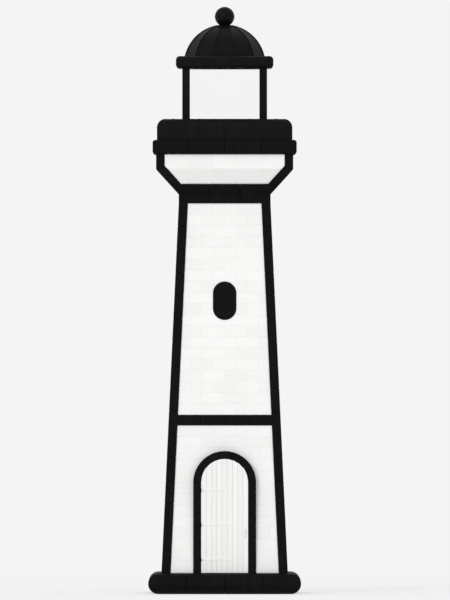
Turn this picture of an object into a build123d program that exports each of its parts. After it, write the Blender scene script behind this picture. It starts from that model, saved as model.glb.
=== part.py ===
"""A square masonry lighthouse, 16 m tall, built from the ground up in millimetres.

A white rendered tower with a battered face stands on a bullnosed plinth. Black corner pilasters, a belt
course and a neck band frame its walls. White corbel panels between black knee brackets carry a gallery with
an in-rolled parapet, and a square glazed lantern with a round dome and a ball finial stands on the gallery.
The frame: +Z up, origin at the middle of the plinth's underside, and the door faces -Y.
"""

import os
from math import atan, atan2, cos, degrees, sqrt, tan

from build123d import *

# ---- Heights of the storeys and bands, from the ground up ----
PLINTH_HEIGHT = 570.0
LOWER_WALL_HEIGHT = 4020.0
BELT_HEIGHT = 285.0
UPPER_WALL_HEIGHT = 5760.0
NECK_BAND_HEIGHT = 245.0  # the plumb part of the neck band
NECK_FLARE_HEIGHT = 275.0  # its part that leans out with the corbel
CORBEL_SLOPE_HEIGHT = 405.0
CORBEL_PLUMB_HEIGHT = 405.0
GALLERY_EDGE_HEIGHT = 390.0
PARAPET_HEIGHT = 570.0
GLAZING_HEIGHT = 1395.0  # from the parapet's top to the cornice
CORNICE_HEIGHT = 320.0

# ---- Half widths of the square plan, over the black members ----
PLINTH_HALF = 2080.0
TOWER_FOOT_HALF = 1720.0
TOWER_NECK_HALF = 1250.0
CORBEL_TOP_HALF = 1865.0
GALLERY_EDGE_HALF = 1960.0
PARAPET_HALF = 1835.0
LANTERN_HALF = 1155.0
CORNICE_HALF = 1320.0

# ---- Walls, floors and their black members ----
PILASTER_WIDTH = 250.0
WALL_SETBACK = 40.0  # how far the white wall stands behind the pilasters' face
WALL_THICKNESS = 400.0
BELT_SETBACK = 10.0
BELT_WEATHERING = 35.0  # the slope on top of the belt course that sheds rain
FLOOR_HOUSING = 10.0  # how far the upper floor's corners are let into the pilasters
HATCH_WIDTH = 800.0
HATCH_CURB = 60.0
CURB_HEIGHT = 50.0
BRACKET_THICKNESS = 235.0
CORBEL_SETBACK = 30.0
CORBEL_THICKNESS = 180.0
DECK_THICKNESS = 115.0

# ---- Gallery and lantern ironwork ----
GALLERY_EDGE_RADIUS = 80.0
PARAPET_PLATE = 70.0
PARAPET_ROLL_RADIUS = 230.0
POST_WIDTH = 190.0
POST_FOOT_MARGIN = 35.0
POST_FOOT_THICKNESS = 20.0
SILL_WALL_THICKNESS = 60.0
SILL_WIDTH = 120.0
SILL_THICKNESS = 40.0
SILL_DROP = 5.0  # how far the sill stays below the parapet's top
FIELD_DEPTH = 12.0  # the sunk fields of the sill walls
FIELD_BORDER = 110.0
GLASS_THICKNESS = 12.0
GLASS_GROOVE_DEPTH = 18.0
GLASS_CLEARANCE = 2.0
CORNICE_RADIUS = 95.0
CORNICE_EYE_RADIUS = 980.0  # the round opening under the dome

# ---- Dome and finial ----
DOME_RADIUS = 1100.0
DOME_CENTRE_HEIGHT = 85.0  # above the underside of the cornice
DOME_PLATE = 25.0
DOME_GORES = 12  # a multiple of four, so that one gore faces each side
DOME_CROWN_HALF = 170.0  # the flat at the crown that carries the finial
DOME_FLANGE_WIDTH = 24.0
DOME_FLANGE_THICKNESS = 20.0
SPIGOT_RADIUS = 90.0
SPIGOT_LENGTH = 60.0
COLLAR_RADIUS = 158.0
BALL_RADIUS = 267.0
BALL_GORES = 12
BALL_FOOT_HALF = 146.0
BALL_TIP_HALF = 44.0  # where the gores end under the cap
BALL_CAP_RADIUS = 42.0
BALL_CENTRE_HEIGHT = 228.0  # above the top of the dome's curve

# ---- Doorway, door and its ironwork ----
DOOR_OPENING_HALF = 650.0
DOOR_SPRINGING = 2465.0  # above the plinth's top
SURROUND_WIDTH = 205.0
SURROUND_PROJECTION = 20.0  # in front of the pilasters' foot
SURROUND_CHAMFER = 18.0
REBATE_WIDTH = 40.0
STOP_CLEARANCE = 5.0
LEAF_THICKNESS = 70.0
LEAF_CLEARANCE = 10.0
HINGE_STANDOFF = 30.0  # the pin's axis in front of the leaf
HINGE_OFFSET = 5.0  # the pin's axis beside the opening
HINGE_HEIGHTS = (380.0, 1330.0, 2280.0)  # above the plinth's top
EYE_RADIUS = 22.0
EYE_HEIGHT = 60.0
PIN_RADIUS = 9.0
PIN_CLEARANCE = 1.0
PIN_STICK_OUT = 12.0
BEARING_CLEARANCE = 0.4
STRAP_LENGTH = 900.0
STRAP_THICKNESS = 14.0
STRAP_TIP_WIDTH = 36.0
STRAP_RELIEF = 6.0  # cut from the strap's back, where it passes in front of the jamb
PINTLE_ARM_HEIGHT = 22.0
PINTLE_PLATE_LENGTH = 150.0
PINTLE_PLATE_THICKNESS = 12.0
PINTLE_PLATE_GAP = 13.0  # between the plate and the eye
LEDGE_WIDTH = 160.0
LEDGE_THICKNESS = 30.0
LEDGE_CLEARANCE = 20.0  # between the ends of the ledges and the rebate's stop
BRACE_WIDTH = 150.0
HANDLE_HEIGHT = 1100.0  # of its middle, above the plinth's top
HANDLE_INSET = 95.0  # from the leaf's free edge
HANDLE_LENGTH = 240.0
HANDLE_DEPTH = 62.0
HANDLE_BEND_RADIUS = 30.0
HANDLE_BAR_THICKNESS = 13.0
HANDLE_BAR_WIDTH = 26.0
HANDLE_PAD_WIDTH = 50.0
HANDLE_PAD_THICKNESS = 7.0

# ---- Windows ----
WINDOW_WIDTH = 640.0
WINDOW_HEIGHT = 1050.0
WINDOW_CENTRE = 3105.0  # above the belt course
WINDOW_FRAME_WIDTH = 62.0
WINDOW_FRAME_DEPTH = 170.0
WINDOW_FRAME_PROJECTION = 25.0  # in front of the wall, and less than the wall's setback
WINDOW_REBATE = 26.0
WINDOW_LIP_DEPTH = 60.0  # from the frame's front to its glass

CURVED_FIT = 0.3  # between curved faces that meet
REACH = 3000.0  # past the outside of the building, for cutting tools

# ---- Levels, worked out from the heights ----
Z_PLINTH = PLINTH_HEIGHT
Z_BELT = Z_PLINTH + LOWER_WALL_HEIGHT
Z_UPPER = Z_BELT + BELT_HEIGHT
Z_NECK = Z_UPPER + UPPER_WALL_HEIGHT
Z_FLARE = Z_NECK + NECK_BAND_HEIGHT
Z_CORBEL = Z_FLARE + NECK_FLARE_HEIGHT
Z_ELBOW = Z_CORBEL + CORBEL_SLOPE_HEIGHT
Z_GALLERY = Z_ELBOW + CORBEL_PLUMB_HEIGHT
Z_DECK = Z_GALLERY + DECK_THICKNESS
Z_PARAPET = Z_GALLERY + GALLERY_EDGE_HEIGHT
Z_PARAPET_TOP = Z_PARAPET + PARAPET_HEIGHT
Z_SILL = Z_PARAPET_TOP - SILL_DROP
Z_CORNICE = Z_PARAPET_TOP + GLAZING_HEIGHT
Z_CORNICE_TOP = Z_CORNICE + CORNICE_HEIGHT
Z_DOME_CENTRE = Z_CORNICE + DOME_CENTRE_HEIGHT
Z_DOME_TOP = Z_DOME_CENTRE + DOME_RADIUS
Z_BALL = Z_DOME_TOP + BALL_CENTRE_HEIGHT
Z_CROWN = Z_DOME_CENTRE + sqrt(DOME_RADIUS**2 - DOME_CROWN_HALF**2)
Z_BALL_FOOT = Z_BALL - sqrt(BALL_RADIUS**2 - BALL_FOOT_HALF**2)
Z_SPRINGING = Z_PLINTH + DOOR_SPRINGING

BATTER = (TOWER_FOOT_HALF - TOWER_NECK_HALF) / (Z_NECK - Z_PLINTH)
FLARE_ANGLE = atan2(CORBEL_TOP_HALF - TOWER_NECK_HALF, Z_ELBOW - Z_FLARE)
SIDE_TURNS = {"front": 0, "right": 90, "back": 180, "left": 270}
CORNER_TURNS = {"front_left": 0, "front_right": 90, "back_right": 180, "back_left": 270}
WINDOW_TURNS = (0, 180)

nodes = {}


# ---- Helpers ----
def tower_half(z, setback=0.0):
    """Half the width of the battered tower at height z, less a setback."""
    return TOWER_FOOT_HALF - BATTER * (z - Z_PLINTH) - setback


def corbel_line(depth, z_foot):
    """The corbel's bent outline at a depth inside its outer face: foot, elbow and top as (half, z)."""
    foot_half = TOWER_NECK_HALF + (z_foot - Z_FLARE) * tan(FLARE_ANGLE) - depth / cos(FLARE_ANGLE)
    elbow = Z_ELBOW + depth * tan(FLARE_ANGLE / 2)
    half = CORBEL_TOP_HALF - depth
    return [(foot_half, z_foot), (half, elbow), (half, Z_GALLERY)]


def outline(line):
    """A face, symmetric about the centre line, whose right edge is the line of (half, z) points."""
    return Polygon(*line, *[(-half, z) for half, z in reversed(line)], align=None)


def crossed(face):
    """The square-plan body whose front and side elevations are both the face, drawn as (across, up)."""
    front = extrude(Plane.XZ * face, amount=REACH, both=True)
    side = extrude(Plane.YZ * face, amount=REACH, both=True)
    return front & side


def square_prism(half, z_low, z_high):
    """An upright prism of square plan about the Z axis."""
    return Pos(0, 0, z_low) * Box(2 * half, 2 * half, z_high - z_low, align=(Align.CENTER, Align.CENTER, Align.MIN))


def frustum(half_low, z_low, half_high, z_high):
    """A square-plan body that narrows or widens evenly between two levels."""
    return crossed(outline([(half_low, z_low), (half_high, z_high)]))


def front_quarter(body):
    """The part of a square-plan body that faces the front, mitred at 45 degrees."""
    wedge = Polygon((0, 0), (-REACH, -REACH), (REACH, -REACH), align=None)
    return body & extrude(wedge, amount=Z_DOME_TOP)


def turned(body, degrees_about_z):
    """A copy of the body turned about the tower's axis."""
    return Rot(0, 0, degrees_about_z) * body


def around(body, turns=range(0, 360, 90)):
    """Separate copies of a body, turned about the tower's axis."""
    return Compound(children=[turned(body, turn).solid() for turn in turns])


def obround(width, height):
    """An upright slot shape with full round ends, centred on the origin."""
    return SlotOverall(height, width, rotation=90)


def along_y(face, y_front, y_back, x=0.0, z=0.0):
    """A face drawn as (across, up), placed at x and z and extruded from y_front back to y_back."""
    return extrude(Pos(x, y_front, z) * (Plane.XZ * face), amount=-(y_back - y_front))


# ---- Plinth ----
def make_plinth():
    """The square base with a full bullnose on every side."""
    body = Pos(0, PLINTH_HEIGHT / 2) * SlotOverall(2 * PLINTH_HALF, PLINTH_HEIGHT)
    return crossed(body)


# ---- Tower ----
def make_pilaster():
    """The front left corner pilaster, which leans in on both faces with the batter."""
    stroke = Polygon(
        (-tower_half(Z_PLINTH), Z_PLINTH),
        (-tower_half(Z_PLINTH, PILASTER_WIDTH), Z_PLINTH),
        (-tower_half(Z_NECK, PILASTER_WIDTH), Z_NECK),
        (-tower_half(Z_NECK), Z_NECK),
        align=None,
    )
    return crossed(stroke) & front_left_corner()


def front_left_corner():
    """A square prism over the front left quadrant, for picking one corner out of four."""
    return Box(REACH, REACH, Z_DOME_TOP, align=(Align.MAX, Align.MAX, Align.MIN))


def tower_void(z_low, z_high):
    """The hollow inside the tower's walls between two levels."""
    inner = WALL_SETBACK + WALL_THICKNESS
    return frustum(tower_half(z_low, inner), z_low, tower_half(z_high, inner), z_high)


def wall_ring(z_low, z_high, corners):
    """The four walls of a storey in one ring, notched round the corner pilasters."""
    outer = frustum(tower_half(z_low, WALL_SETBACK), z_low, tower_half(z_high, WALL_SETBACK), z_high)
    return outer - tower_void(z_low, z_high) - corners


def doorway_outline(half):
    """The round-headed outline of the doorway at a half width, from the plinth's top."""
    leg = Pos(0, DOOR_SPRINGING / 2) * Rectangle(2 * half, DOOR_SPRINGING)
    return leg + Pos(0, DOOR_SPRINGING) * Circle(half)


def make_lower_walls(corners):
    """The lower storey's walls, with the front wall split beside and over its doorway."""
    side = front_quarter(wall_ring(Z_PLINTH, Z_BELT, corners))
    for name in ("right", "back", "left"):
        nodes[f"{name}_wall_lower"] = turned(side, SIDE_TURNS[name])
    outer_half = DOOR_OPENING_HALF + SURROUND_WIDTH
    doorway = along_y(doorway_outline(outer_half + CURVED_FIT), -REACH, 0, z=Z_PLINTH)
    front = side - doorway
    below = Pos(0, 0, Z_PLINTH) * Box(
        2 * REACH, 2 * REACH, DOOR_SPRINGING, align=(Align.CENTER, Align.CENTER, Align.MIN)
    )
    beside = front & below
    nodes["front_wall_left"] = beside.solids().sort_by(Axis.X)[0]
    nodes["front_wall_right"] = beside.solids().sort_by(Axis.X)[-1]
    nodes["front_wall_over_door"] = front - below


def make_belt_course(corners):
    """The black ring between the storeys, with a weathered top edge."""
    z_weather = Z_UPPER - BELT_WEATHERING * (WALL_SETBACK - BELT_SETBACK) / WALL_SETBACK
    line = [
        (tower_half(Z_BELT, BELT_SETBACK), Z_BELT),
        (tower_half(z_weather, BELT_SETBACK), z_weather),
        (tower_half(Z_UPPER, WALL_SETBACK), Z_UPPER),
    ]
    return crossed(outline(line)) - square_prism(upper_floor_half(), Z_BELT, Z_UPPER) - corners


def upper_floor_half():
    """Half the width of the upper floor, which bears on the inner part of the lower walls."""
    return tower_half(Z_BELT, PILASTER_WIDTH - FLOOR_HOUSING)


def hatched_slab(half, z_low, z_high):
    """A square slab with a hatch in its middle and a raised curb round the hatch."""
    curb = square_prism(HATCH_WIDTH / 2 + HATCH_CURB, z_high, z_high + CURB_HEIGHT)
    slab = square_prism(half, z_low, z_high) + curb
    return slab - square_prism(HATCH_WIDTH / 2, z_low, z_high + CURB_HEIGHT)


def make_upper_walls(corners):
    """The upper storey's four walls, with an obround window opening in the front and the back one."""
    wall = front_quarter(wall_ring(Z_UPPER, Z_NECK, corners))
    hole = in_front_wall(obround(WINDOW_WIDTH, WINDOW_HEIGHT), -WALL_THICKNESS, 2 * WALL_THICKNESS)
    for name, turn in SIDE_TURNS.items():
        body = wall - hole if turn in WINDOW_TURNS else wall
        nodes[f"{name}_wall_upper"] = turned(body, turn)


# ---- Windows ----
def in_front_wall(face, y_front, y_back):
    """A face at the window's place, extruded through the leaning front wall, y measured from the wall's face."""
    z = Z_UPPER + WINDOW_CENTRE
    lean = Pos(0, -tower_half(z, WALL_SETBACK), z) * Rot(-degrees(atan(BATTER)), 0, 0)
    return lean * along_y(face, y_front, y_back)


def make_window_frame():
    """The front window's iron frame, which leans with its wall and is rebated from inside for its glass."""
    front = -WINDOW_FRAME_PROJECTION
    glass = front + WINDOW_LIP_DEPTH
    back = front + WINDOW_FRAME_DEPTH
    fit = 2 * CURVED_FIT
    ring = in_front_wall(obround(WINDOW_WIDTH - fit, WINDOW_HEIGHT - fit), front, back)
    rim = 2 * WINDOW_FRAME_WIDTH
    sight = in_front_wall(obround(WINDOW_WIDTH - rim, WINDOW_HEIGHT - rim), front, glass)
    rebate_rim = rim - 2 * WINDOW_REBATE
    rebate = in_front_wall(obround(WINDOW_WIDTH - rebate_rim, WINDOW_HEIGHT - rebate_rim), glass, back)
    return ring - sight - rebate


def make_window_glass():
    """The front window's pane, held against the frame's lip."""
    front = WINDOW_LIP_DEPTH - WINDOW_FRAME_PROJECTION
    rim = 2 * (WINDOW_FRAME_WIDTH - WINDOW_REBATE + CURVED_FIT)
    pane = obround(WINDOW_WIDTH - rim, WINDOW_HEIGHT - rim)
    return in_front_wall(pane, front, front + GLASS_THICKNESS)


# ---- Doorway ----
def surround_front():
    """The y of the doorway surround's front face, which is plumb."""
    return -(TOWER_FOOT_HALF + SURROUND_PROJECTION)


def make_surround():
    """The doorway's plumb lining: two jambs and an arch with a rebate that the leaf shuts into."""
    front = surround_front()
    stop = front + LEAF_THICKNESS + STOP_CLEARANCE
    outer = along_y(doorway_outline(DOOR_OPENING_HALF + SURROUND_WIDTH), front, 0, z=Z_PLINTH)
    outer = chamfer(outer.faces().sort_by(Axis.Y)[0].edges().filter_by(lambda e: e.center().Z > Z_PLINTH + 1),
                    SURROUND_CHAMFER)
    opening = along_y(doorway_outline(DOOR_OPENING_HALF), front, stop, z=Z_PLINTH)
    passage = along_y(doorway_outline(DOOR_OPENING_HALF - REBATE_WIDTH), stop, 0, z=Z_PLINTH)
    lining = outer - opening - passage - tower_void(Z_PLINTH, Z_BELT)
    lining = front_quarter(lining)
    below = Pos(0, 0, Z_PLINTH) * Box(
        2 * REACH, 2 * REACH, DOOR_SPRINGING, align=(Align.CENTER, Align.CENTER, Align.MIN)
    )
    jambs = (lining & below).solids().sort_by(Axis.X)
    nodes["door_jamb_left"] = jambs[0]
    nodes["door_jamb_right"] = jambs[-1]
    nodes["door_arch"] = lining - below


def make_leaf():
    """The round-headed door leaf, clear of the plinth and of the surround all round."""
    half = DOOR_OPENING_HALF - LEAF_CLEARANCE
    front = surround_front()
    body = along_y(doorway_outline(half), front, front + LEAF_THICKNESS, z=Z_PLINTH)
    gap = Pos(0, 0, Z_PLINTH) * Box(2 * REACH, 2 * REACH, LEAF_CLEARANCE, align=(Align.CENTER, Align.CENTER, Align.MIN))
    return body - gap


def hinge_axis():
    """The x and y of the door's hinge pins."""
    return -(DOOR_OPENING_HALF + HINGE_OFFSET), surround_front() - HINGE_STANDOFF


def make_strap(z):
    """A strap on the leaf's front face, tapering from its eye to a rounded tip."""
    x, y = hinge_axis()
    face = make_face(
        Polyline(
            (x, -EYE_HEIGHT / 2),
            (x + STRAP_LENGTH, -STRAP_TIP_WIDTH / 2),
            (x + STRAP_LENGTH, STRAP_TIP_WIDTH / 2),
            (x, EYE_HEIGHT / 2),
            close=True,
        )
    )
    tip = Pos(x + STRAP_LENGTH, 0) * Circle(STRAP_TIP_WIDTH / 2)
    front = surround_front()
    bar = along_y(face + tip, front - STRAP_THICKNESS, front, z=z)
    bar -= Pos(-(DOOR_OPENING_HALF - LEAF_CLEARANCE), front, z) * Box(
        STRAP_LENGTH, STRAP_RELIEF, 2 * EYE_HEIGHT, align=(Align.MAX, Align.MAX, Align.CENTER)
    )
    eye = Pos(x, y, z) * Cylinder(EYE_RADIUS, EYE_HEIGHT)
    bore = Pos(x, y, z) * Cylinder(PIN_RADIUS + PIN_CLEARANCE, EYE_HEIGHT)
    return bar + eye - bore


def make_pintle(z):
    """A pintle on the left jamb: a plate, an arm under the strap's eye and the pin that it turns on."""
    x, y = hinge_axis()
    front = surround_front()
    z_arm_top = z - EYE_HEIGHT / 2 - BEARING_CLEARANCE
    plate_end = x - EYE_RADIUS - PINTLE_PLATE_GAP
    plate = Pos(plate_end, front, z_arm_top - PINTLE_ARM_HEIGHT) * Box(
        PINTLE_PLATE_LENGTH,
        PINTLE_PLATE_THICKNESS,
        EYE_HEIGHT + PINTLE_ARM_HEIGHT,
        align=(Align.MAX, Align.MAX, Align.MIN),
    )
    arm = Pos(x, front, z_arm_top) * Box(
        PINTLE_PLATE_LENGTH / 2,
        HINGE_STANDOFF,
        PINTLE_ARM_HEIGHT,
        align=(Align.MAX, Align.MAX, Align.MAX),
    )
    boss = Pos(x, y, z_arm_top) * Cylinder(
        EYE_RADIUS, PINTLE_ARM_HEIGHT, align=(Align.CENTER, Align.CENTER, Align.MAX)
    )
    pin_height = PINTLE_ARM_HEIGHT + BEARING_CLEARANCE + EYE_HEIGHT + PIN_STICK_OUT
    pin = Pos(x, y, z_arm_top - PINTLE_ARM_HEIGHT) * Cylinder(
        PIN_RADIUS, pin_height, align=(Align.CENTER, Align.CENTER, Align.MIN)
    )
    return plate + arm + boss + pin


def make_ledges():
    """The frame on the leaf's back: a ledge behind each strap and braces that rise from the hinge side."""
    half = DOOR_OPENING_HALF - REBATE_WIDTH - LEDGE_CLEARANCE
    back = surround_front() + LEAF_THICKNESS
    frame = None
    for height in HINGE_HEIGHTS:
        ledge = Pos(0, back, Z_PLINTH + height) * Box(
            2 * half, LEDGE_THICKNESS, LEDGE_WIDTH, align=(Align.CENTER, Align.MIN, Align.CENTER)
        )
        frame = ledge if frame is None else frame + ledge
    for low, high in zip(HINGE_HEIGHTS, HINGE_HEIGHTS[1:]):
        z_low, z_high = low + LEDGE_WIDTH / 2, high - LEDGE_WIDTH / 2
        brace = Polygon(
            (-half, z_low), (BRACE_WIDTH - half, z_low), (half, z_high), (half - BRACE_WIDTH, z_high), align=None
        )
        frame += along_y(brace, back, back + LEDGE_THICKNESS, z=Z_PLINTH)
    return frame


def make_handle():
    """The pull handle near the leaf's free edge: a flat bar bent twice, on two square pads."""
    x = DOOR_OPENING_HALF - LEAF_CLEARANCE - HANDLE_INSET
    front = surround_front()
    z = Z_PLINTH + HANDLE_HEIGHT
    inside = 2 * HANDLE_BAR_THICKNESS
    bow = RectangleRounded(2 * HANDLE_DEPTH, HANDLE_LENGTH, HANDLE_BEND_RADIUS)
    bow -= RectangleRounded(
        2 * HANDLE_DEPTH - inside, HANDLE_LENGTH - inside, HANDLE_BEND_RADIUS - HANDLE_BAR_THICKNESS
    )
    bar = extrude(Pos(x, front, z) * (Plane.YZ * bow), amount=HANDLE_BAR_WIDTH / 2, both=True)
    bar &= Pos(x, front, z) * Box(
        HANDLE_LENGTH, HANDLE_DEPTH, HANDLE_LENGTH, align=(Align.CENTER, Align.MAX, Align.CENTER)
    )
    leg = (HANDLE_LENGTH - HANDLE_BAR_THICKNESS) / 2
    for side in (-1, 1):
        bar += Pos(x, front, z + side * leg) * Box(
            HANDLE_PAD_WIDTH,
            HANDLE_PAD_THICKNESS,
            HANDLE_PAD_WIDTH,
            align=(Align.CENTER, Align.MAX, Align.CENTER),
        )
    return bar


# ---- Neck, corbel and brackets ----
def make_neck_band():
    """The black band at the tower's head, plumb below and leaning out with the corbel above."""
    outer = [(TOWER_NECK_HALF, Z_NECK), (TOWER_NECK_HALF, Z_FLARE), corbel_line(0, Z_CORBEL)[0]]
    depth = CORBEL_SETBACK + CORBEL_THICKNESS
    hollow = [corbel_line(depth, Z_FLARE)[0], corbel_line(depth, Z_CORBEL)[0]]
    shaft = tower_half(Z_NECK, WALL_SETBACK + WALL_THICKNESS)
    return crossed(outline(outer)) - crossed(outline(hollow)) - square_prism(shaft, Z_NECK, Z_FLARE)


def make_bracket():
    """The front left knee bracket, bent at the elbow where the corbel turns plumb."""
    outer = corbel_line(0, Z_CORBEL)
    inner = corbel_line(BRACKET_THICKNESS, Z_CORBEL)
    stroke = Polygon(*[(-half, z) for half, z in outer], *[(-half, z) for half, z in reversed(inner)], align=None)
    return crossed(stroke) & front_left_corner()


def make_corbel_panels(brackets):
    """The white panels of the corbel, one on each side between the knee brackets."""
    outer = crossed(outline(corbel_line(CORBEL_SETBACK, Z_CORBEL)))
    hollow = crossed(outline(corbel_line(CORBEL_SETBACK + CORBEL_THICKNESS, Z_CORBEL)))
    panel = front_quarter(outer - hollow - brackets)
    for name, turn in SIDE_TURNS.items():
        nodes[f"corbel_{name}"] = turned(panel, turn)


# ---- Gallery ----
def parapet_inner_half():
    """Half the clear width between the parapet's plates."""
    return PARAPET_HALF - PARAPET_PLATE


def make_gallery_edge():
    """The black ring round the deck that the parapet stands on, with rounded outer edges."""
    height = GALLERY_EDGE_HEIGHT
    face = Pos(0, Z_GALLERY + height / 2) * RectangleRounded(2 * GALLERY_EDGE_HALF, height, GALLERY_EDGE_RADIUS)
    return crossed(face) - square_prism(parapet_inner_half(), Z_GALLERY, Z_PARAPET)


def rolled_outline(half, z_top, radius):
    """An outline that stands on the gallery edge and has rounded top corners."""
    body = Pos(0, Z_PARAPET) * Rectangle(2 * half, z_top - Z_PARAPET, align=(Align.CENTER, Align.MIN))
    return fillet(body.vertices().group_by(Axis.Y)[-1], radius)


def make_parapet():
    """The four parapet plates, plumb below and rolled in at the top."""
    outer = crossed(rolled_outline(PARAPET_HALF, Z_PARAPET_TOP, PARAPET_ROLL_RADIUS))
    inner_radius = PARAPET_ROLL_RADIUS - PARAPET_PLATE
    hollow = crossed(rolled_outline(parapet_inner_half(), Z_PARAPET_TOP - PARAPET_PLATE, inner_radius))
    mouth = square_prism(PARAPET_HALF - PARAPET_ROLL_RADIUS, Z_PARAPET, Z_PARAPET_TOP)
    plate = front_quarter(outer - hollow - mouth)
    for name, turn in SIDE_TURNS.items():
        nodes[f"parapet_{name}"] = turned(plate, turn)


# ---- Lantern ----
def glass_plane():
    """The distance of the lantern's glass from the tower's axis, in the middle of the posts."""
    return LANTERN_HALF - POST_WIDTH / 2


def lantern_clear_half():
    """Half the clear width between two posts."""
    return LANTERN_HALF - POST_WIDTH


def glass_slot(z_low, z_high):
    """The room that the four panes take in their grooves, as one ring."""
    plane, half_slot = glass_plane(), GLASS_THICKNESS / 2 + GLASS_CLEARANCE
    reach = lantern_clear_half() + GLASS_GROOVE_DEPTH
    slot = Pos(0, -plane, z_low) * Box(
        2 * reach, 2 * half_slot, z_high - z_low, align=(Align.CENTER, Align.CENTER, Align.MIN)
    )
    return [turned(slot, turn) for turn in SIDE_TURNS.values()]


def make_posts():
    """The four corner posts with bolted feet and grooves for the glass."""
    centre = glass_plane()
    post = Pos(-centre, -centre, Z_DECK) * Box(
        POST_WIDTH, POST_WIDTH, Z_CORNICE - Z_DECK, align=(Align.CENTER, Align.CENTER, Align.MIN)
    )
    foot_width = POST_WIDTH + 2 * POST_FOOT_MARGIN
    foot = Pos(-centre, -centre, Z_DECK) * Box(
        foot_width, foot_width, POST_FOOT_THICKNESS, align=(Align.CENTER, Align.CENTER, Align.MIN)
    )
    sill_groove = Z_SILL - GLASS_GROOVE_DEPTH
    return around((post + foot - glass_slot(sill_groove, Z_CORNICE)).solid())


def make_sill_walls():
    """The low iron walls under the glass, with sunk fields and a grooved sill."""
    half, plane = lantern_clear_half(), glass_plane()
    foot_half = half - POST_FOOT_MARGIN
    wall = Pos(0, -plane, Z_DECK) * Box(
        2 * half, SILL_WALL_THICKNESS, Z_SILL - Z_DECK, align=(Align.CENTER, Align.CENTER, Align.MIN)
    )
    sill = Pos(0, -plane, Z_SILL) * Box(
        2 * half, SILL_WIDTH, SILL_THICKNESS, align=(Align.CENTER, Align.CENTER, Align.MAX)
    )
    feet = Pos(0, -plane, Z_DECK) * Box(
        2 * half, 2 * POST_WIDTH, POST_FOOT_THICKNESS, align=(Align.CENTER, Align.CENTER, Align.MIN)
    )
    feet -= Pos(0, -plane, Z_DECK) * Box(
        2 * foot_half, 2 * POST_WIDTH, POST_FOOT_THICKNESS, align=(Align.CENTER, Align.CENTER, Align.MIN)
    )
    z_field = Z_DECK + FIELD_BORDER
    field = Box(
        foot_half - 1.5 * FIELD_BORDER,
        FIELD_DEPTH,
        Z_SILL - SILL_THICKNESS - FIELD_BORDER - z_field,
        align=(Align.CENTER, Align.MIN, Align.MIN),
    )
    fields = [Pos(side * foot_half / 2, -plane - SILL_WALL_THICKNESS / 2, z_field) * field for side in (-1, 1)]
    body = wall + sill - feet - fields - glass_slot(Z_SILL - GLASS_GROOVE_DEPTH, Z_SILL)
    return around(body.solid())


def make_lantern_glass():
    """The four panes, standing in the sill's groove and held by the posts and the cornice."""
    z_low = Z_SILL - GLASS_GROOVE_DEPTH
    z_high = Z_CORNICE + GLASS_GROOVE_DEPTH - GLASS_CLEARANCE
    half = lantern_clear_half() + GLASS_GROOVE_DEPTH - GLASS_CLEARANCE
    pane = Pos(0, -glass_plane(), z_low) * Box(
        2 * half, GLASS_THICKNESS, z_high - z_low, align=(Align.CENTER, Align.CENTER, Align.MIN)
    )
    return around(pane)


def make_cornice():
    """The rounded cornice over the posts, grooved for the glass and open under the dome."""
    height = CORNICE_HEIGHT
    face = Pos(0, Z_CORNICE + height / 2) * RectangleRounded(2 * CORNICE_HALF, height, CORNICE_RADIUS)
    eye = Pos(0, 0, Z_CORNICE) * Cylinder(
        CORNICE_EYE_RADIUS, height, align=(Align.CENTER, Align.CENTER, Align.MIN)
    )
    return crossed(face) - eye - glass_slot(Z_CORNICE, Z_CORNICE + GLASS_GROOVE_DEPTH)


# ---- Dome and finial ----
def gored(radius, gores, z_centre, z_low, z_high):
    """A round-backed body of single-curvature gores: what equal vaults, turned about one axis, share."""
    disc = Pos(0, z_centre) * Circle(radius)
    slab = Pos(0, z_low) * Rectangle(2 * radius, z_high - z_low, align=(Align.CENTER, Align.MIN))
    vault = extrude(Plane.XZ * (disc & slab), amount=2 * radius, both=True)
    body = vault
    for n in range(1, gores // 2):
        body &= turned(vault, n * 360 / gores)
    return body


def regular_prism(half, sides, z_low, z_high):
    """An upright prism on a regular polygon, with flats at the half width facing each side."""
    outline = RegularPolygon(half, sides, major_radius=False, rotation=180 / sides)
    return extrude(Pos(0, 0, z_low) * outline, amount=z_high - z_low)


def make_dome():
    """The dome's gored plate with its foot flange, cut flat at the crown."""
    foot_half = sqrt(DOME_RADIUS**2 - (Z_CORNICE_TOP - Z_DOME_CENTRE) ** 2)
    body = gored(DOME_RADIUS, DOME_GORES, Z_DOME_CENTRE, Z_CORNICE_TOP, Z_CROWN)
    body += regular_prism(
        foot_half + DOME_FLANGE_WIDTH, DOME_GORES, Z_CORNICE_TOP, Z_CORNICE_TOP + DOME_FLANGE_THICKNESS
    )
    body -= gored(DOME_RADIUS - DOME_PLATE, DOME_GORES, Z_DOME_CENTRE, Z_CORNICE_TOP, Z_CROWN - DOME_PLATE)
    return body - Pos(0, 0, Z_DOME_CENTRE) * Cylinder(
        SPIGOT_RADIUS + CURVED_FIT, DOME_RADIUS, align=(Align.CENTER, Align.CENTER, Align.MIN)
    )


def make_finial():
    """The gored ball on its collar, with a cap over the tip and a spigot down through the crown."""
    z_tip = Z_BALL + sqrt(BALL_RADIUS**2 - BALL_TIP_HALF**2)
    body = gored(BALL_RADIUS, BALL_GORES, Z_BALL, Z_BALL_FOOT, z_tip)
    for radius, z_low, z_high in (
        (BALL_CAP_RADIUS, z_tip, Z_BALL + BALL_RADIUS),
        (COLLAR_RADIUS, Z_CROWN, Z_BALL_FOOT),
        (SPIGOT_RADIUS, Z_CROWN - SPIGOT_LENGTH, Z_CROWN),
    ):
        body += Pos(0, 0, z_low) * Cylinder(radius, z_high - z_low, align=(Align.CENTER, Align.CENTER, Align.MIN))
    return body


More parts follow.
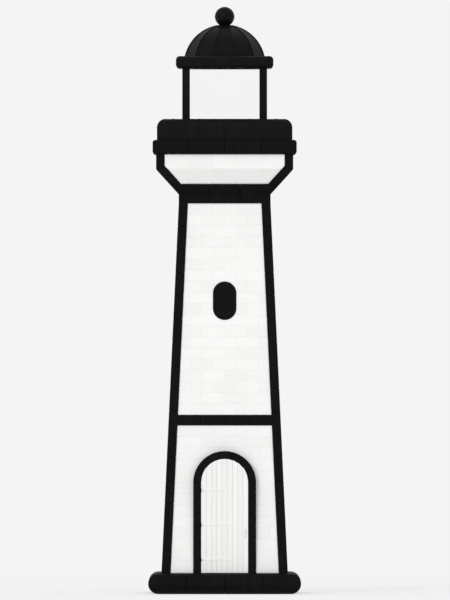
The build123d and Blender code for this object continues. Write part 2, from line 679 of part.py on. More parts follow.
def main():
    """Builds every node and writes it to parts/."""
    nodes["plinth"] = make_plinth()

    pilaster = make_pilaster()
    pilasters = [turned(pilaster, turn) for turn in CORNER_TURNS.values()]
    for corner, turn in CORNER_TURNS.items():
        nodes[f"corner_pilaster_{corner}"] = turned(pilaster, turn)
    make_lower_walls(pilasters)
    nodes["belt_course"] = make_belt_course(pilasters)
    nodes["upper_floor"] = hatched_slab(upper_floor_half(), Z_BELT, Z_UPPER) - pilasters
    make_upper_walls(pilasters)
    nodes["window_frames"] = around(make_window_frame(), WINDOW_TURNS)
    nodes["window_glass"] = around(make_window_glass(), WINDOW_TURNS)

    make_surround()
    nodes["door_leaf"] = make_leaf()
    nodes["door_straps"] = Compound(children=[make_strap(Z_PLINTH + h).solid() for h in HINGE_HEIGHTS])
    nodes["door_pintles"] = Compound(children=[make_pintle(Z_PLINTH + h).solid() for h in HINGE_HEIGHTS])
    nodes["door_ledges"] = make_ledges()
    nodes["door_handle"] = make_handle()

    nodes["neck_band"] = make_neck_band()
    bracket = make_bracket()
    nodes["knee_brackets"] = around(bracket)
    make_corbel_panels([turned(bracket, turn) for turn in CORNER_TURNS.values()])

    nodes["gallery_edge"] = make_gallery_edge()
    nodes["gallery_deck"] = hatched_slab(parapet_inner_half(), Z_GALLERY, Z_DECK)
    make_parapet()

    nodes["lantern_posts"] = make_posts()
    nodes["lantern_sill_walls"] = make_sill_walls()
    nodes["lantern_glass"] = make_lantern_glass()
    nodes["lantern_cornice"] = make_cornice()
    nodes["dome"] = make_dome()
    nodes["finial"] = make_finial()

    os.makedirs("parts", exist_ok=True)
    for name, body in nodes.items():
        export_step(body, f"parts/{name}.step")


main()
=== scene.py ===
"""The looks of a square white lighthouse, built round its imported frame, in metres.

Every shape is made of shells: closed tubes of rings, worked out as whole arrays. Stones, boards and plates
are outlines that are raised from a face, or sections that are carried along a path, with joints cut into
them. The door faces -Y, and the origin is the middle of the plinth's underside.
"""

import logging
import math
from dataclasses import dataclass
from enum import Enum
from typing import Any, Sequence

import bpy
import numpy as np
import numpy.typing as npt
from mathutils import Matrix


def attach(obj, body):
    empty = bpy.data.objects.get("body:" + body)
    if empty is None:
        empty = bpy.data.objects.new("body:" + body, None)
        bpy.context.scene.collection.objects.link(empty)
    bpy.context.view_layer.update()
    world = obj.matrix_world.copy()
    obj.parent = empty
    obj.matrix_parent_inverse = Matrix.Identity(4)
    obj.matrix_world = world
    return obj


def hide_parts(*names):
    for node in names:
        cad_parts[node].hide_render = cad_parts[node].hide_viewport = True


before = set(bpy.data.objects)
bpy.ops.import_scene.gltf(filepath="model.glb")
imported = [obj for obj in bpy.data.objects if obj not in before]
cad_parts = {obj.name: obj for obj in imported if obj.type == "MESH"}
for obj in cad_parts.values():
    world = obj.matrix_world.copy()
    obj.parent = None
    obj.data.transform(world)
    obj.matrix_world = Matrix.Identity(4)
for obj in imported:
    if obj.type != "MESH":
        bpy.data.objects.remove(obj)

Points = npt.NDArray[np.float64]
Values = float | Points
Colour = tuple[float, float, float]
Plane = tuple[float, float, float, float]  # a wall's distance from the axis and its level, at foot and head
Socket = bpy.types.NodeSocket

LOG = logging.getLogger("lighthouse")
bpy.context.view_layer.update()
SHARP_ANGLE = math.radians(35)
LEVEL_ROUNDING = 4  # decimals of a metre to which the frame's levels are read
LEVEL_TOLERANCE = 2e-4  # metres within which two levels are one
TIER_GAP = 0.2  # between the pieces of one node that stand over each other
TINY = 1e-9  # stands for a length of 0 where it divides
ACROSS = (1.0, 0.0, 0.0)
UP = (0.0, 0.0, 1.0)
TO_FRONT = (0.0, -1.0, 0.0)
TO_BACK = (0.0, 1.0, 0.0)
# the paint darkens towards a block's root as dirt and painted shade
ROOT_HOLLOW = np.array([1.0, 0.0, 0.0])[None, :, None]  # the root of a raised block lies deep in its joint
MIX_FIRST, MIX_SECOND, MIX_RESULT = 6, 7, 2  # a Mix node's sockets for colours


class Side(Enum):
    """A side of the square plan, by its quarter turns from the front."""

    FRONT = 0
    RIGHT = 1
    BACK = 2
    LEFT = 3

    @property
    def word(self) -> str:
        """The side's name as the nodes spell it."""
        return self.name.lower()


class Corner(Enum):
    """A corner of the square plan, by its quarter turns from the front left."""

    FRONT_LEFT = 0
    FRONT_RIGHT = 1
    BACK_RIGHT = 2
    BACK_LEFT = 3

    @property
    def word(self) -> str:
        """The corner's name as the nodes spell it."""
        return self.name.lower()


class Body(Enum):
    """A rigid body of the frame."""

    TOWER = "tower"
    DOOR = "door"


# ---- Outlines and paths ----
def turned(points: Points, quarters: int) -> Points:
    """Turns points about the tower's axis by quarter turns.

    A quarter turn takes (x, y) to (-y, x) and leaves z.

    Args:
        points: an array whose last axis is x, y, z.
        quarters: how many quarter turns, counter-clockwise from above.

    Returns:
        A turned copy.
    """
    x, y, z = np.moveaxis(points, -1, 0)
    for _ in range(quarters % 4):
        x, y = -y, x
    return np.stack([x, y, z], axis=-1)


def spun(points: Points, angle: float) -> Points:
    """Points turned about the tower's axis by t: (x, y) becomes (x cos t - y sin t, x sin t + y cos t)."""
    c, s = math.cos(angle), math.sin(angle)
    return points @ np.array([(c, s, 0.0), (-s, c, 0.0), UP])


def inset(outlines: Points, distance: Values) -> Points:
    """Moves closed outlines inwards, with mitred corners.

    A point moves by (n1 + n2) / (1 + n1.n2) times the distance, where n1 and n2 are the inward unit normals
    of the edges before and after it.

    Args:
        outlines: counter-clockwise outlines, shape (..., points, 2).
        distance: how far the edges move, one number or an array that spreads over the outlines.

    Returns:
        The moved outlines, in the same shape.
    """
    edge = np.roll(outlines, -1, axis=-2) - outlines
    unit = edge / np.maximum(np.linalg.norm(edge, axis=-1, keepdims=True), TINY)
    after = np.stack([-unit[..., 1], unit[..., 0]], axis=-1)
    before = np.roll(after, 1, axis=-2)
    mitre = (before + after) / (1 + (before * after).sum(axis=-1, keepdims=True))
    return outlines + distance * mitre


def sections(profile: Points, insets: Points) -> Points:
    """A closed profile once for each inset, moved inwards by it."""
    return inset(np.repeat(profile[None], len(insets), axis=0), insets[:, None, None])


def in_joints(insets: Points) -> Points:
    """A shell's hollows, which darken the paint as dirt and painted shade: 1 on the rings that are inset, and
    0 on the others.
    """
    return (insets > 0)[None, :, None] * 1.0


def row(half: float, pitch: float) -> Points:
    """Places at even steps from -half to half, as near the pitch as whole steps allow."""
    return np.linspace(-half, half, round(2 * half / pitch) + 1)


def chamfered(low: Points, high: Points, cut: float) -> Points:
    """Rectangles between pairs of corners, with their own four corners cut off.

    Args:
        low: the lowest corners, shape (..., 2).
        high: the highest corners.
        cut: how much comes off both edges of a corner.

    Returns:
        Outlines, shape (..., 8, 2), counter-clockwise.
    """
    (left, foot), (right, head) = np.moveaxis(low, -1, 0), np.moveaxis(high, -1, 0)
    x = [left, left + cut, right - cut, right, right, right - cut, left + cut, left]
    y = [foot + cut, foot, foot, foot + cut, head - cut, head, head, head - cut]
    return np.stack([np.stack(x, axis=-1), np.stack(y, axis=-1)], axis=-1)


def rectangles(low: Points, high: Points) -> Points:
    """Rectangles between lowest and highest corners, shape (pieces, 2): counter-clockwise, (pieces, 4, 2)."""
    low_right, high_left = (np.stack([a[:, 0], b[:, 1]], axis=-1) for a, b in ((high, low), (low, high)))
    return np.stack([low, low_right, high, high_left], axis=1)


def arc(centre: Sequence[float], radius: float, start: float, end: float, count: int) -> Points:
    """Points at the centre plus the radius times (cos t, sin t), for t in degrees from start to end."""
    t = np.radians(np.linspace(start, end, count))
    return np.stack([centre[0] + radius * np.cos(t), centre[1] + radius * np.sin(t)], axis=-1)


def rounded_edge(half: float, low: float, high: float, radius: float, count: int) -> Points:
    """A slab's outside as (half width, z): a quarter circle, a plumb line, a quarter circle."""
    lower = arc((half - radius, low + radius), radius, -90, 0, count)
    return np.concatenate([lower, arc((half - radius, high - radius), radius, 0, 90, count)])


def revolved(outline: Points, sides: int, axis: Sequence[float] = (0.0, 0.0)) -> Points:
    """An outline (r, z) turned about an upright axis (x, y): at t it is at (x + r cos t, y + r sin t, z).

    Args:
        outline: the outline, shape (points, 2).
        sides: how many even steps the turn has.
        axis: where the axis stands.

    Returns:
        Points, shape (sides, points, 3).
    """
    turn = np.linspace(0, 2 * np.pi, sides, endpoint=False)[:, None]
    r, z = outline.T
    around = [axis[0] + r * np.cos(turn), axis[1] + r * np.sin(turn), np.broadcast_to(z, (sides, len(z)))]
    return np.stack(around, axis=-1)


def spaced(line: Points, count: int) -> Points:
    """Points at even distances along a polyline, found by its length so far.

    Args:
        line: the polyline, shape (points, 2).
        count: how many points to place, both ends included.

    Returns:
        An array of shape (count, 2).
    """
    run = np.concatenate([[0.0], np.cumsum(np.linalg.norm(np.diff(line, axis=0), axis=1))])
    at = np.linspace(0, run[-1], count)
    return np.stack([np.interp(at, run, line[:, 0]), np.interp(at, run, line[:, 1])], axis=-1)


@dataclass(frozen=True)
class Joint:
    """A V joint between two stones or plates: its width at the face, its flat floor and its depth."""

    width: float
    floor: float
    depth: float

    def cut(self, start: float, joints: Points, end: float) -> tuple[Points, Points]:
        """Places sections along a course, with its joints cut in.

        A joint adds four sections: face, floor, floor and face. Those on the floor are inset by its depth.

        Args:
            start: where the course starts.
            joints: where the joints' middles are.
            end: where the course ends.

        Returns:
            The sections' places along the course, and their insets.
        """
        steps = np.array([-self.width, -self.floor, self.floor, self.width]) / 2
        depths = np.array([0.0, self.depth, self.depth, 0.0])
        places = np.concatenate([[start], (joints[:, None] + steps).ravel(), [end]])
        return places, np.concatenate([[0.0], np.tile(depths, len(joints)), [0.0]])

    def stations(self, start: float, end: float, pitch: float) -> tuple[Points, Points]:
        """The same for a course that is shared into whole stones of about the pitch."""
        return self.cut(start, np.linspace(start, end, max(1, round((end - start) / pitch)) + 1)[1:-1], end)


@dataclass(frozen=True)
class Face:
    """A flat face that outlines are drawn on: across it, up it and out of it."""

    origin: tuple[float, float, float]
    across: tuple[float, float, float]
    up: tuple[float, float, float]

    @classmethod
    def level(cls, z: float) -> "Face":
        """A level face at a height, with x across it and y up it."""
        return cls((0.0, 0.0, z), ACROSS, TO_BACK)

    @classmethod
    def plumb(cls, y: float) -> "Face":
        """A plumb face that looks to the front, with x across it and z up it."""
        return cls((0.0, y, 0.0), ACROSS, UP)

    @classmethod
    def leaning(cls, plane: Plane) -> "Face":
        """The front wall's face on a plane, drawn from the middle of the plane's foot."""
        rise = np.array([0.0, plane[0] - plane[2], plane[3] - plane[1]])
        return cls((0.0, -plane[0], plane[1]), ACROSS, tuple(rise / np.linalg.norm(rise)))

    def points(self, flat: Points, out: Values) -> Points:
        """Places drawn points in space: origin + across a + up b + outward normal times out.

        Args:
            flat: points (a, b), shape (..., 2).
            out: how far each stands out of the face.

        Returns:
            Points in space, shape (..., 3).
        """
        across, up = np.array(self.across), np.array(self.up)
        normal = np.cross(across, up)
        lift = np.broadcast_to(out, flat.shape[:-1])[..., None] * normal
        return np.array(self.origin) + flat[..., :1] * across + flat[..., 1:] * up + lift


# ---- Shells ----
class Shell:
    """Gathers closed tubes of rings and makes them one mesh.

    Point (t, r, p) is point p of ring r of tube t. A face joins points p and p + 1 of rings r and r + 1.
    The first and last rings are closed by a face, or joined to each other.
    """

    def __init__(self) -> None:
        """Starts with no tubes."""
        self._points: list[Points] = []
        self._faces: list[list[int]] = []
        self._tones: list[Points] = []
        self._hollows: list[Points] = []
        self._count = 0

    def add(
        self, rings: Points, loop: bool = False, tone: Values = 0.0, hollow: Values = 0.0
    ) -> "Shell":
        """Adds tubes, and turns those round that would come out inside out.

        Six times a tube's volume is the sum of a . (b x c) over its triangles. It is negative where they
        look inwards.

        Args:
            rings: the tubes' points, shape (tubes, rings, points, 3).
            loop: whether the last ring joins the first, in place of two end faces.
            tone: how much lighter or darker than its neighbours each tube is, about -1 to 1.
            hollow: how deep in a joint each point lies, from 0 to 1, in a shape that spreads over the rings;
                the paint darkens with it, as dirt and painted shade.

        Returns:
            The shell itself.
        """
        tubes, count, width = rings.shape[:3]
        ring, point = np.meshgrid(np.arange(count if loop else count - 1), np.arange(width), indexing="ij")
        after, beside = (ring + 1) % count, (point + 1) % width
        corners = [(ring, point), (ring, beside), (after, beside), (after, point)]
        quads = np.stack([r * width + p for r, p in corners], axis=-1).reshape(-1, 4)
        first = np.arange(width)
        ends = [] if loop else [first[::-1], first + (count - 1) * width]
        fans = [np.stack([np.full(width - 2, end[0]), end[1:-1], end[2:]], axis=-1) for end in ends]
        triangles = np.concatenate([quads[:, [0, 1, 2]], quads[:, [0, 2, 3]], *fans])
        flat = rings.reshape(tubes, -1, 3)
        a, b, c = (flat[:, triangles[:, n]] for n in range(3))
        inside_out = np.einsum("tnk,tnk->t", a, np.cross(b, c)) < 0
        depth = np.broadcast_to(hollow, rings.shape[:3])
        rings = np.where(inside_out[:, None, None, None], rings[:, :, ::-1], rings)
        depth = np.where(inside_out[:, None, None], depth[:, :, ::-1], depth)
        bases = self._count + np.arange(tubes)[:, None] * count * width
        self._faces += (quads + bases[..., None]).reshape(-1, 4).tolist()
        for end in ends:
            self._faces += (end + bases).tolist()
        self._points.append(rings.reshape(-1, 3))
        self._hollows.append(depth.reshape(-1))
        spread = np.broadcast_to(np.reshape(np.asarray(tone, float), (-1, 1)), (tubes, count * width))
        self._tones.append(spread.reshape(-1))
        self._count += tubes * count * width
        return self

    def around(self, rings: Points, loop: bool = False, hollow: Values = 0.0) -> "Shell":
        """Adds tubes of the front, or of the front left corner, and their copies at every quarter turn.

        Args:
            rings: the tubes' points.
            loop: whether the last ring joins the first.
            hollow: how deep in a joint each point lies, which darkens the paint as dirt and painted shade.

        Returns:
            The shell itself.
        """
        for quarters in range(4):
            self.add(turned(rings, quarters), loop, hollow=hollow)
        return self

    def mesh(self, name: str) -> bpy.types.Mesh:
        """Makes the mesh, smooth where it curves and sharp at its arrises.

        Args:
            name: the mesh's name.

        Returns:
            The mesh, with its tone and hollow as point attributes.
        """
        mesh = bpy.data.meshes.new(name)
        mesh.from_pydata(np.concatenate(self._points).tolist(), [], self._faces)
        for word, values in (("tone", self._tones), ("hollow", self._hollows)):
            layer = mesh.attributes.new(word, "FLOAT", "POINT")
            layer.data.foreach_set("value", np.concatenate(values).astype(np.float32))
        mesh.polygons.foreach_set("use_smooth", np.ones(len(mesh.polygons), bool))
        mesh.set_sharp_from_angle(angle=SHARP_ANGLE)
        return mesh


def raised(face: Face, outlines: Points, arris: float, out: float, root: float = 0.01) -> Points:
    """Stones, boards or plates: outlines raised from a face, with a chamfer round the top.

    The rings are the outline below the face, the outline just under the top, and the inset outline on top.

    Args:
        face: the face that they stand on.
        outlines: counter-clockwise outlines, shape (pieces, points, 2).
        arris: the chamfer's width and height.
        out: how far the tops stand out of the face.
        root: how far the pieces are let into the face.

    Returns:
        The rings, shape (pieces, 3, points, 3).
    """
    tops = inset(outlines, arris)
    return np.stack(
        [face.points(outlines, -root), face.points(outlines, out - arris), face.points(tops, out)], axis=1
    )


def along_front(profile: Points, places: Points, insets: Points) -> Points:
    """A section carried along the front of a square: its point (w, z) at the place a is (a, -w, z).

    Args:
        profile: the closed section as (half width, z), shape (points, 2).
        places: where the sections stand.
        insets: how far each of them is inset.

    Returns:
        The rings, shape (rings, points, 3).
    """
    shapes = sections(profile, insets)
    along = np.broadcast_to(places[:, None], shapes.shape[:2])
    return np.stack([along, -shapes[..., 0], shapes[..., 1]], axis=-1)


def square_ring(profile: Points, places: Points, insets: Points) -> Points:
    """A section carried round a square: along each side to the mitre, where a point's place is its own w.

    Args:
        profile: the closed section as (half width, z), counter-clockwise, shape (points, 2).
        places: where the sections stand along one side, without its ends.
        insets: how far each of them is inset.

    Returns:
        The rings, shape (1, rings, points, 3), to be joined in a loop.
    """
    corner = np.stack([-profile[:, 0], -profile[:, 0], profile[:, 1]], axis=-1)[None]
    side = np.concatenate([corner, along_front(profile, places, insets)])
    return np.concatenate([turned(side, n) for n in range(4)])[None]


def stone_ring(profile: Points, half: float, joint: Joint, pitch: float) -> Shell:
    """A ring of stones round the square: its section carried round, with a joint between every two stones.

    Args:
        profile: the closed section as (half width, z), counter-clockwise.
        half: half the length of a side along its outside.
        joint: the joints.
        pitch: the stones' length to aim at.

    Returns:
        The ring, whose hollows are its joints.
    """
    places, insets = joint.stations(-half, half, pitch)
    rings = square_ring(profile, places[1:-1], insets[1:-1])
    # the joints' floors darken to the joint colour: dirt and painted shade
    hollow = np.tile(np.concatenate([[0.0], insets[1:-1] > 0]), 4)[None, :, None]
    return Shell().add(rings, loop=True, hollow=hollow)


def corner_stack(levels: Points, outer: Points, inner: Points, insets: Points, arris: float) -> Points:
    """The front left corner's member: at each level a chamfered square between two distances from the axis.

    Args:
        levels: the rings' levels.
        outer: the square's outer distance at each level, along x and y alike.
        inner: its inner distance.
        insets: how far each ring is inset.
        arris: the width of the chamfer on its four edges.

    Returns:
        The rings, shape (1, levels, 8, 3).
    """
    square = chamfered(-np.stack([outer, outer], axis=-1), -np.stack([inner, inner], axis=-1), arris)
    plan = inset(square, insets[:, None, None])
    z = np.broadcast_to(levels[:, None], plan.shape[:2])
    return np.concatenate([plan, z[..., None]], axis=-1)[None]


@dataclass(frozen=True)
class Head:
    """The head of a rivet or a bolt, or a nut: a low dome of three rings about the normal of its plate."""

    radius: float
    height: float
    sides: int = 8
    rises: tuple[float, ...] = (0.0, 45.0, 78.0)
    sunk: float = 0.15
    steep: float = 0.9  # past this upright share of a normal, its circle is laid out from x and not z

    def at(self, x: Values, y: Values, z: Values, out: Sequence[float] | Points) -> Points:
        """Sets heads on a plate.

        Ring k has the radius times cos t and stands the height times (sin t - sunk) out, for t of the rises.

        Args:
            x: where the heads stand across the front, in a shape that spreads over those of y and z.
            y: where they stand from front to back.
            z: where they stand in height.
            out: the unit normal of the plate, one for all or one for each.

        Returns:
            The rings, shape (heads, rises, sides, 3).
        """
        feet = np.stack(np.broadcast_arrays(x, y, z), axis=-1)
        normals = np.broadcast_to(out, feet.shape).reshape(-1, 3)
        helper = np.where(np.abs(normals[:, 2:]) > self.steep, ACROSS, UP)
        first = np.cross(helper, normals)
        first /= np.linalg.norm(first, axis=-1, keepdims=True)
        second = np.cross(normals, first)
        turn = np.linspace(0, 2 * np.pi, self.sides, endpoint=False)[:, None]
        circle = np.cos(turn) * first[:, None, None] + np.sin(turn) * second[:, None, None]
        rise = np.radians(self.rises)[:, None, None]
        lift = normals[:, None, None] * self.height * (np.sin(rise) - self.sunk)
        return feet.reshape(-1, 1, 1, 3) + circle * self.radius * np.cos(rise) + lift


def bars(starts: Points, ends: Points, sideways: Points, outwards: Points, arris: float) -> Points:
    """Straight bars of a chamfered rectangular section between pairs of points.

    The section's point (a, b), both from -1 to 1, lies a sideways + b outwards from the bar's middle line.

    Args:
        starts: where the bars' middles start, shape (bars, 3).
        ends: where they end.
        sideways: half the width of each bar as a vector.
        outwards: half its depth as a vector.
        arris: the chamfer's share of each half, from 0 to 1.

    Returns:
        The rings, shape (bars, 2, 8, 3).
    """
    section = chamfered(-np.ones(2), np.ones(2), arris)
    shape = section[:, :1] * sideways[:, None] + section[:, 1:] * outwards[:, None]
    return np.stack([starts[:, None] + shape, ends[:, None] + shape], axis=1)


@dataclass(frozen=True)
class LapStrap:
    """A flat strap over a joint between two plates, with a column of rivets up both of its edges."""

    width: float
    thickness: float
    rivet: Head
    rivets_up: tuple[int, ...]
    steps: int
    arris: float = 0.004
    let_in: float = 0.003
    rivet_aside: float = 0.3

    def made(self, line: Points, middles: Points) -> tuple[Points, Points]:
        """Lays straps up one side of the square.

        The strap's path is the line, in even steps. At each step it lies between the points let in behind the
        path and those its thickness out along (dz, -dw), the path's outward normal. Rivets stand on the steps
        that rivets_up lists.

        Args:
            line: the plates' outside as (half width, z), from its foot.
            middles: where the straps stand across the side.

        Returns:
            The straps' rings and the rivets' rings.
        """
        path = spaced(line, self.steps)
        run = np.gradient(path, axis=0)
        out = np.stack([run[:, 1], -run[:, 0]], axis=-1)
        out /= np.linalg.norm(out, axis=-1, keepdims=True)
        root, face = path - self.let_in * out, path + self.thickness * out
        wide, narrow = self.width / 2, self.width / 2 - self.arris
        aside = np.broadcast_to([-wide, wide, narrow, -narrow], (self.steps, 4))
        w, z = np.stack([root, root, face, face], axis=1).transpose(2, 0, 1)
        straps = np.stack([aside, -w, z], axis=-1) + middles[:, None, None, None] * np.array(ACROSS)
        columns = (middles[:, None] + np.array([-1.0, 1.0]) * self.rivet_aside * self.width).reshape(-1, 1)
        w, z = face[list(self.rivets_up)].T
        normals = out[list(self.rivets_up)] @ np.array([TO_FRONT, UP])
        return straps, self.rivet.at(columns, -w, z, normals)


# ---- The frame's own lines ----
@dataclass(frozen=True)
class NodeShape:
    """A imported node's levels and half widths, read from its points."""

    name: str

    @property
    def vertices(self) -> Points:
        """The node's points.

        Returns:
            An array of shape (points, 3), rounded so that points of one level agree.
        """
        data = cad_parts[self.name].data.vertices
        flat = np.empty(len(data) * 3, np.float32)
        data.foreach_get("co", flat)
        return flat.reshape(-1, 3).astype(float).round(LEVEL_ROUNDING)

    @property
    def low(self) -> Points:
        """The node's lowest corner."""
        return self.vertices.min(axis=0)

    @property
    def high(self) -> Points:
        """The node's highest corner."""
        return self.vertices.max(axis=0)

    @property
    def levels(self) -> Points:
        """The node's levels, from the lowest."""
        return np.unique(self.vertices[:, 2])

    @property
    def tiers(self) -> list[Points]:
        """The levels in groups, one for each piece of a node whose pieces stand over each other."""
        levels = self.levels
        return np.split(levels, np.flatnonzero(np.diff(levels) > TIER_GAP) + 1)

    @property
    def middles(self) -> Points:
        """The middle level of each of those groups."""
        return np.array([(tier[0] + tier[-1]) / 2 for tier in self.tiers])

    def halves(self, z: float) -> Points:
        """The half widths that the node has at a level: how far its points there stand before the axis.

        Args:
            z: one of the node's levels.

        Returns:
            The distances along y of its front points, from the least.
        """
        points = self.vertices
        at = points[(np.abs(points[:, 2] - z) < LEVEL_TOLERANCE) & (points[:, 1] < 0)]
        return np.unique(np.abs(at[:, 1]))


@dataclass(frozen=True)
class TowerLines:
    """The battered tower between plinth and neck band, whose walls stand a setback behind its pilasters."""

    foot_z: float
    foot_half: float
    head_z: float
    head_half: float
    pilaster: float
    setback: float = 0.04
    wall: float = 0.4

    @classmethod
    def read(cls) -> "TowerLines":
        """Reads the lines from the front left pilaster.

        Returns:
            The tower's lines.
        """
        node = NodeShape("corner_pilaster_front_left")
        foot, head = node.levels[0], node.levels[-1]
        halves = node.halves(head)
        return cls(foot, node.halves(foot)[-1], head, halves[-1], halves[-1] - halves[0])

    def half(self, z: Values) -> Values:
        """Half the tower's width at a level, which shrinks evenly from foot to head."""
        return np.interp(z, [self.foot_z, self.head_z], [self.foot_half, self.head_half])


# ---- Finishes ----
class NodeWriter:
    """Writes a node tree: adds nodes, sets their sockets and links them."""

    def __init__(self, tree: bpy.types.NodeTree) -> None:
        """Starts on a material's or a group's node tree."""
        self.tree = tree

    @classmethod
    def on(cls, owner: bpy.types.Material | bpy.types.World) -> "NodeWriter":
        """Empties the node tree of a material or a world, and starts on it.

        Args:
            owner: the material or the world.

        Returns:
            A writer on its tree.
        """
        owner.use_nodes = True
        owner.node_tree.nodes.clear()
        return cls(owner.node_tree)

    def node(self, kind: str, inputs: dict[str | int, Any] | None = None, **settings: Any) -> bpy.types.Node:
        """Adds a node.

        Args:
            kind: the node's type.
            inputs: sockets by name or place, each given a value or the socket that feeds it.
            settings: the node's own settings.

        Returns:
            The node.
        """
        made = self.tree.nodes.new(kind)
        for key, value in settings.items():
            setattr(made, key, value)
        for key, value in (inputs or {}).items():
            if isinstance(value, bpy.types.NodeSocket):
                self.tree.links.new(value, made.inputs[key])
            else:
                made.inputs[key].default_value = value
        return made

    def noise(self, place: Socket, scale: float | Socket, detail: float = 4.0, fall: float = 0.5) -> Socket:
        """A noise value over a place, with detail octaves, each weaker than the last by the fall."""
        inputs = {"Vector": place, "Scale": scale, "Detail": detail, "Roughness": fall}
        return self.node("ShaderNodeTexNoise", inputs).outputs[0]

    def remap(
        self, value: Socket, low: float = 0.0, high: float = 1.0, to_low: float = 0.0, to_high: float = 1.0
    ) -> Socket:
        """A value moved from the range low to high into the range to_low to to_high, and held inside it."""
        inputs = {0: value, 1: low, 2: high, 3: to_low, 4: to_high}
        return self.node("ShaderNodeMapRange", inputs).outputs[0]

    def math(self, kind: str, *values: Socket | float) -> Socket:
        """One step of arithmetic on values, of the kind that the Math node spells so."""
        return self.node("ShaderNodeMath", dict(enumerate(values)), operation=kind).outputs[0]

    def pressed(self, across: Socket, up: Socket) -> Socket:
        """The place on the object, with its height scaled apart.

        Args:
            across: what x and y are multiplied by.
            up: what z is multiplied by.

        Returns:
            The scaled place's socket.
        """
        place = self.node("ShaderNodeTexCoord").outputs["Object"]
        stretch = self.node("ShaderNodeCombineXYZ", {0: across, 1: across, 2: up}).outputs[0]
        return self.node("ShaderNodeVectorMath", {0: place, 1: stretch}, operation="MULTIPLY").outputs[0]

    def close(self, result: bpy.types.Node, values: dict[str, Socket]) -> bpy.types.NodeTree:
        """Finishes a group.

        Args:
            result: its output node.
            values: what feeds each output.

        Returns:
            The group.
        """
        for word, value in values.items():
            self.tree.links.new(value, result.inputs[word])
        return self.tree

    def tint(self, colour: Socket | Colour, other: Colour, share: Socket) -> Socket:
        """One colour mixed into another.

        Args:
            colour: the colour where the share is 0.
            other: the colour where it is 1.
            share: the mask.

        Returns:
            The mixed colour's socket.
        """
        first = colour if isinstance(colour, bpy.types.NodeSocket) else (*colour, 1.0)
        inputs = {0: share, MIX_FIRST: first, MIX_SECOND: (*other, 1.0)}
        return self.node("ShaderNodeMix", inputs, data_type="RGBA").outputs[MIX_RESULT]


class Effects:
    """The node groups that the finishes share, each built once."""

    _made: dict[str, bpy.types.NodeTree] = {}

    @classmethod
    def _group(
        cls, name: str, inputs: dict[str, float], outputs: Sequence[str]
    ) -> tuple[NodeWriter, bpy.types.Node, bpy.types.Node]:
        """Starts a group with its sockets.

        Args:
            name: the group's name.
            inputs: its inputs and their defaults.
            outputs: its outputs.

        Returns:
            A writer on the group, its input node and its output node.
        """
        tree = bpy.data.node_groups.new(name, "ShaderNodeTree")
        for word, value in inputs.items():
            socket = tree.interface.new_socket(name=word, in_out="INPUT", socket_type="NodeSocketFloat")
            socket.default_value = value
        for word in outputs:
            tree.interface.new_socket(name=word, in_out="OUTPUT", socket_type="NodeSocketFloat")
        cls._made[name] = tree
        return NodeWriter(tree), tree.nodes.new("NodeGroupInput"), tree.nodes.new("NodeGroupOutput")

    @classmethod
    def weather(cls) -> bpy.types.NodeTree:
        """Soft mottling, rain streaks that run down, and the fine grain of a painted surface.

        Mottle and Grain are noise over the place. Streaks is noise over the place with its height pressed.

        Returns:
            The group, with inputs for the scales of the three and for how far the height is pressed.
        """
        if "weather" in cls._made:
            return cls._made["weather"]
        inputs = {"Mottle scale": 1.2, "Streak width": 5.0, "Streak length": 0.3, "Grain scale": 60.0}
        writer, given, result = cls._group("weather", inputs, ("Mottle", "Streaks", "Grain"))
        place = writer.node("ShaderNodeTexCoord").outputs["Object"]
        mottle = writer.noise(place, given.outputs["Mottle scale"], detail=5.0, fall=0.6)
        stretched = writer.pressed(given.outputs["Streak width"], given.outputs["Streak length"])
        streaks = writer.noise(stretched, 1.0, fall=0.65)
        results = {
            "Mottle": writer.remap(mottle, low=0.3, high=0.7),
            "Streaks": writer.remap(streaks, low=0.5, high=0.78),
            "Grain": writer.noise(place, given.outputs["Grain scale"], detail=6.0, fall=0.7),
        }
        return writer.close(result, results)

    @classmethod
    def timber(cls) -> bpy.types.NodeTree:
        """The grain of an upright board under paint: long fibres and the strokes of a brush.

        Both are noise over a place that is pressed flat in height, so that the grain runs up the board.

        Returns:
            The group, with inputs for the scales and for how far the height is pressed.
        """
        if "timber" in cls._made:
            return cls._made["timber"]
        inputs = {"Fibre scale": 55.0, "Fibre length": 1.1, "Brush scale": 132.0, "Brush length": 2.5}
        writer, given, result = cls._group("timber", inputs, ("Fibres", "Brush"))
        fibres, brush = (
            writer.noise(writer.pressed(given.outputs[f"{word} scale"], given.outputs[f"{word} length"]), 1.0)
            for word in ("Fibre", "Brush")
        )
        return writer.close(result, {"Fibres": fibres, "Brush": brush})


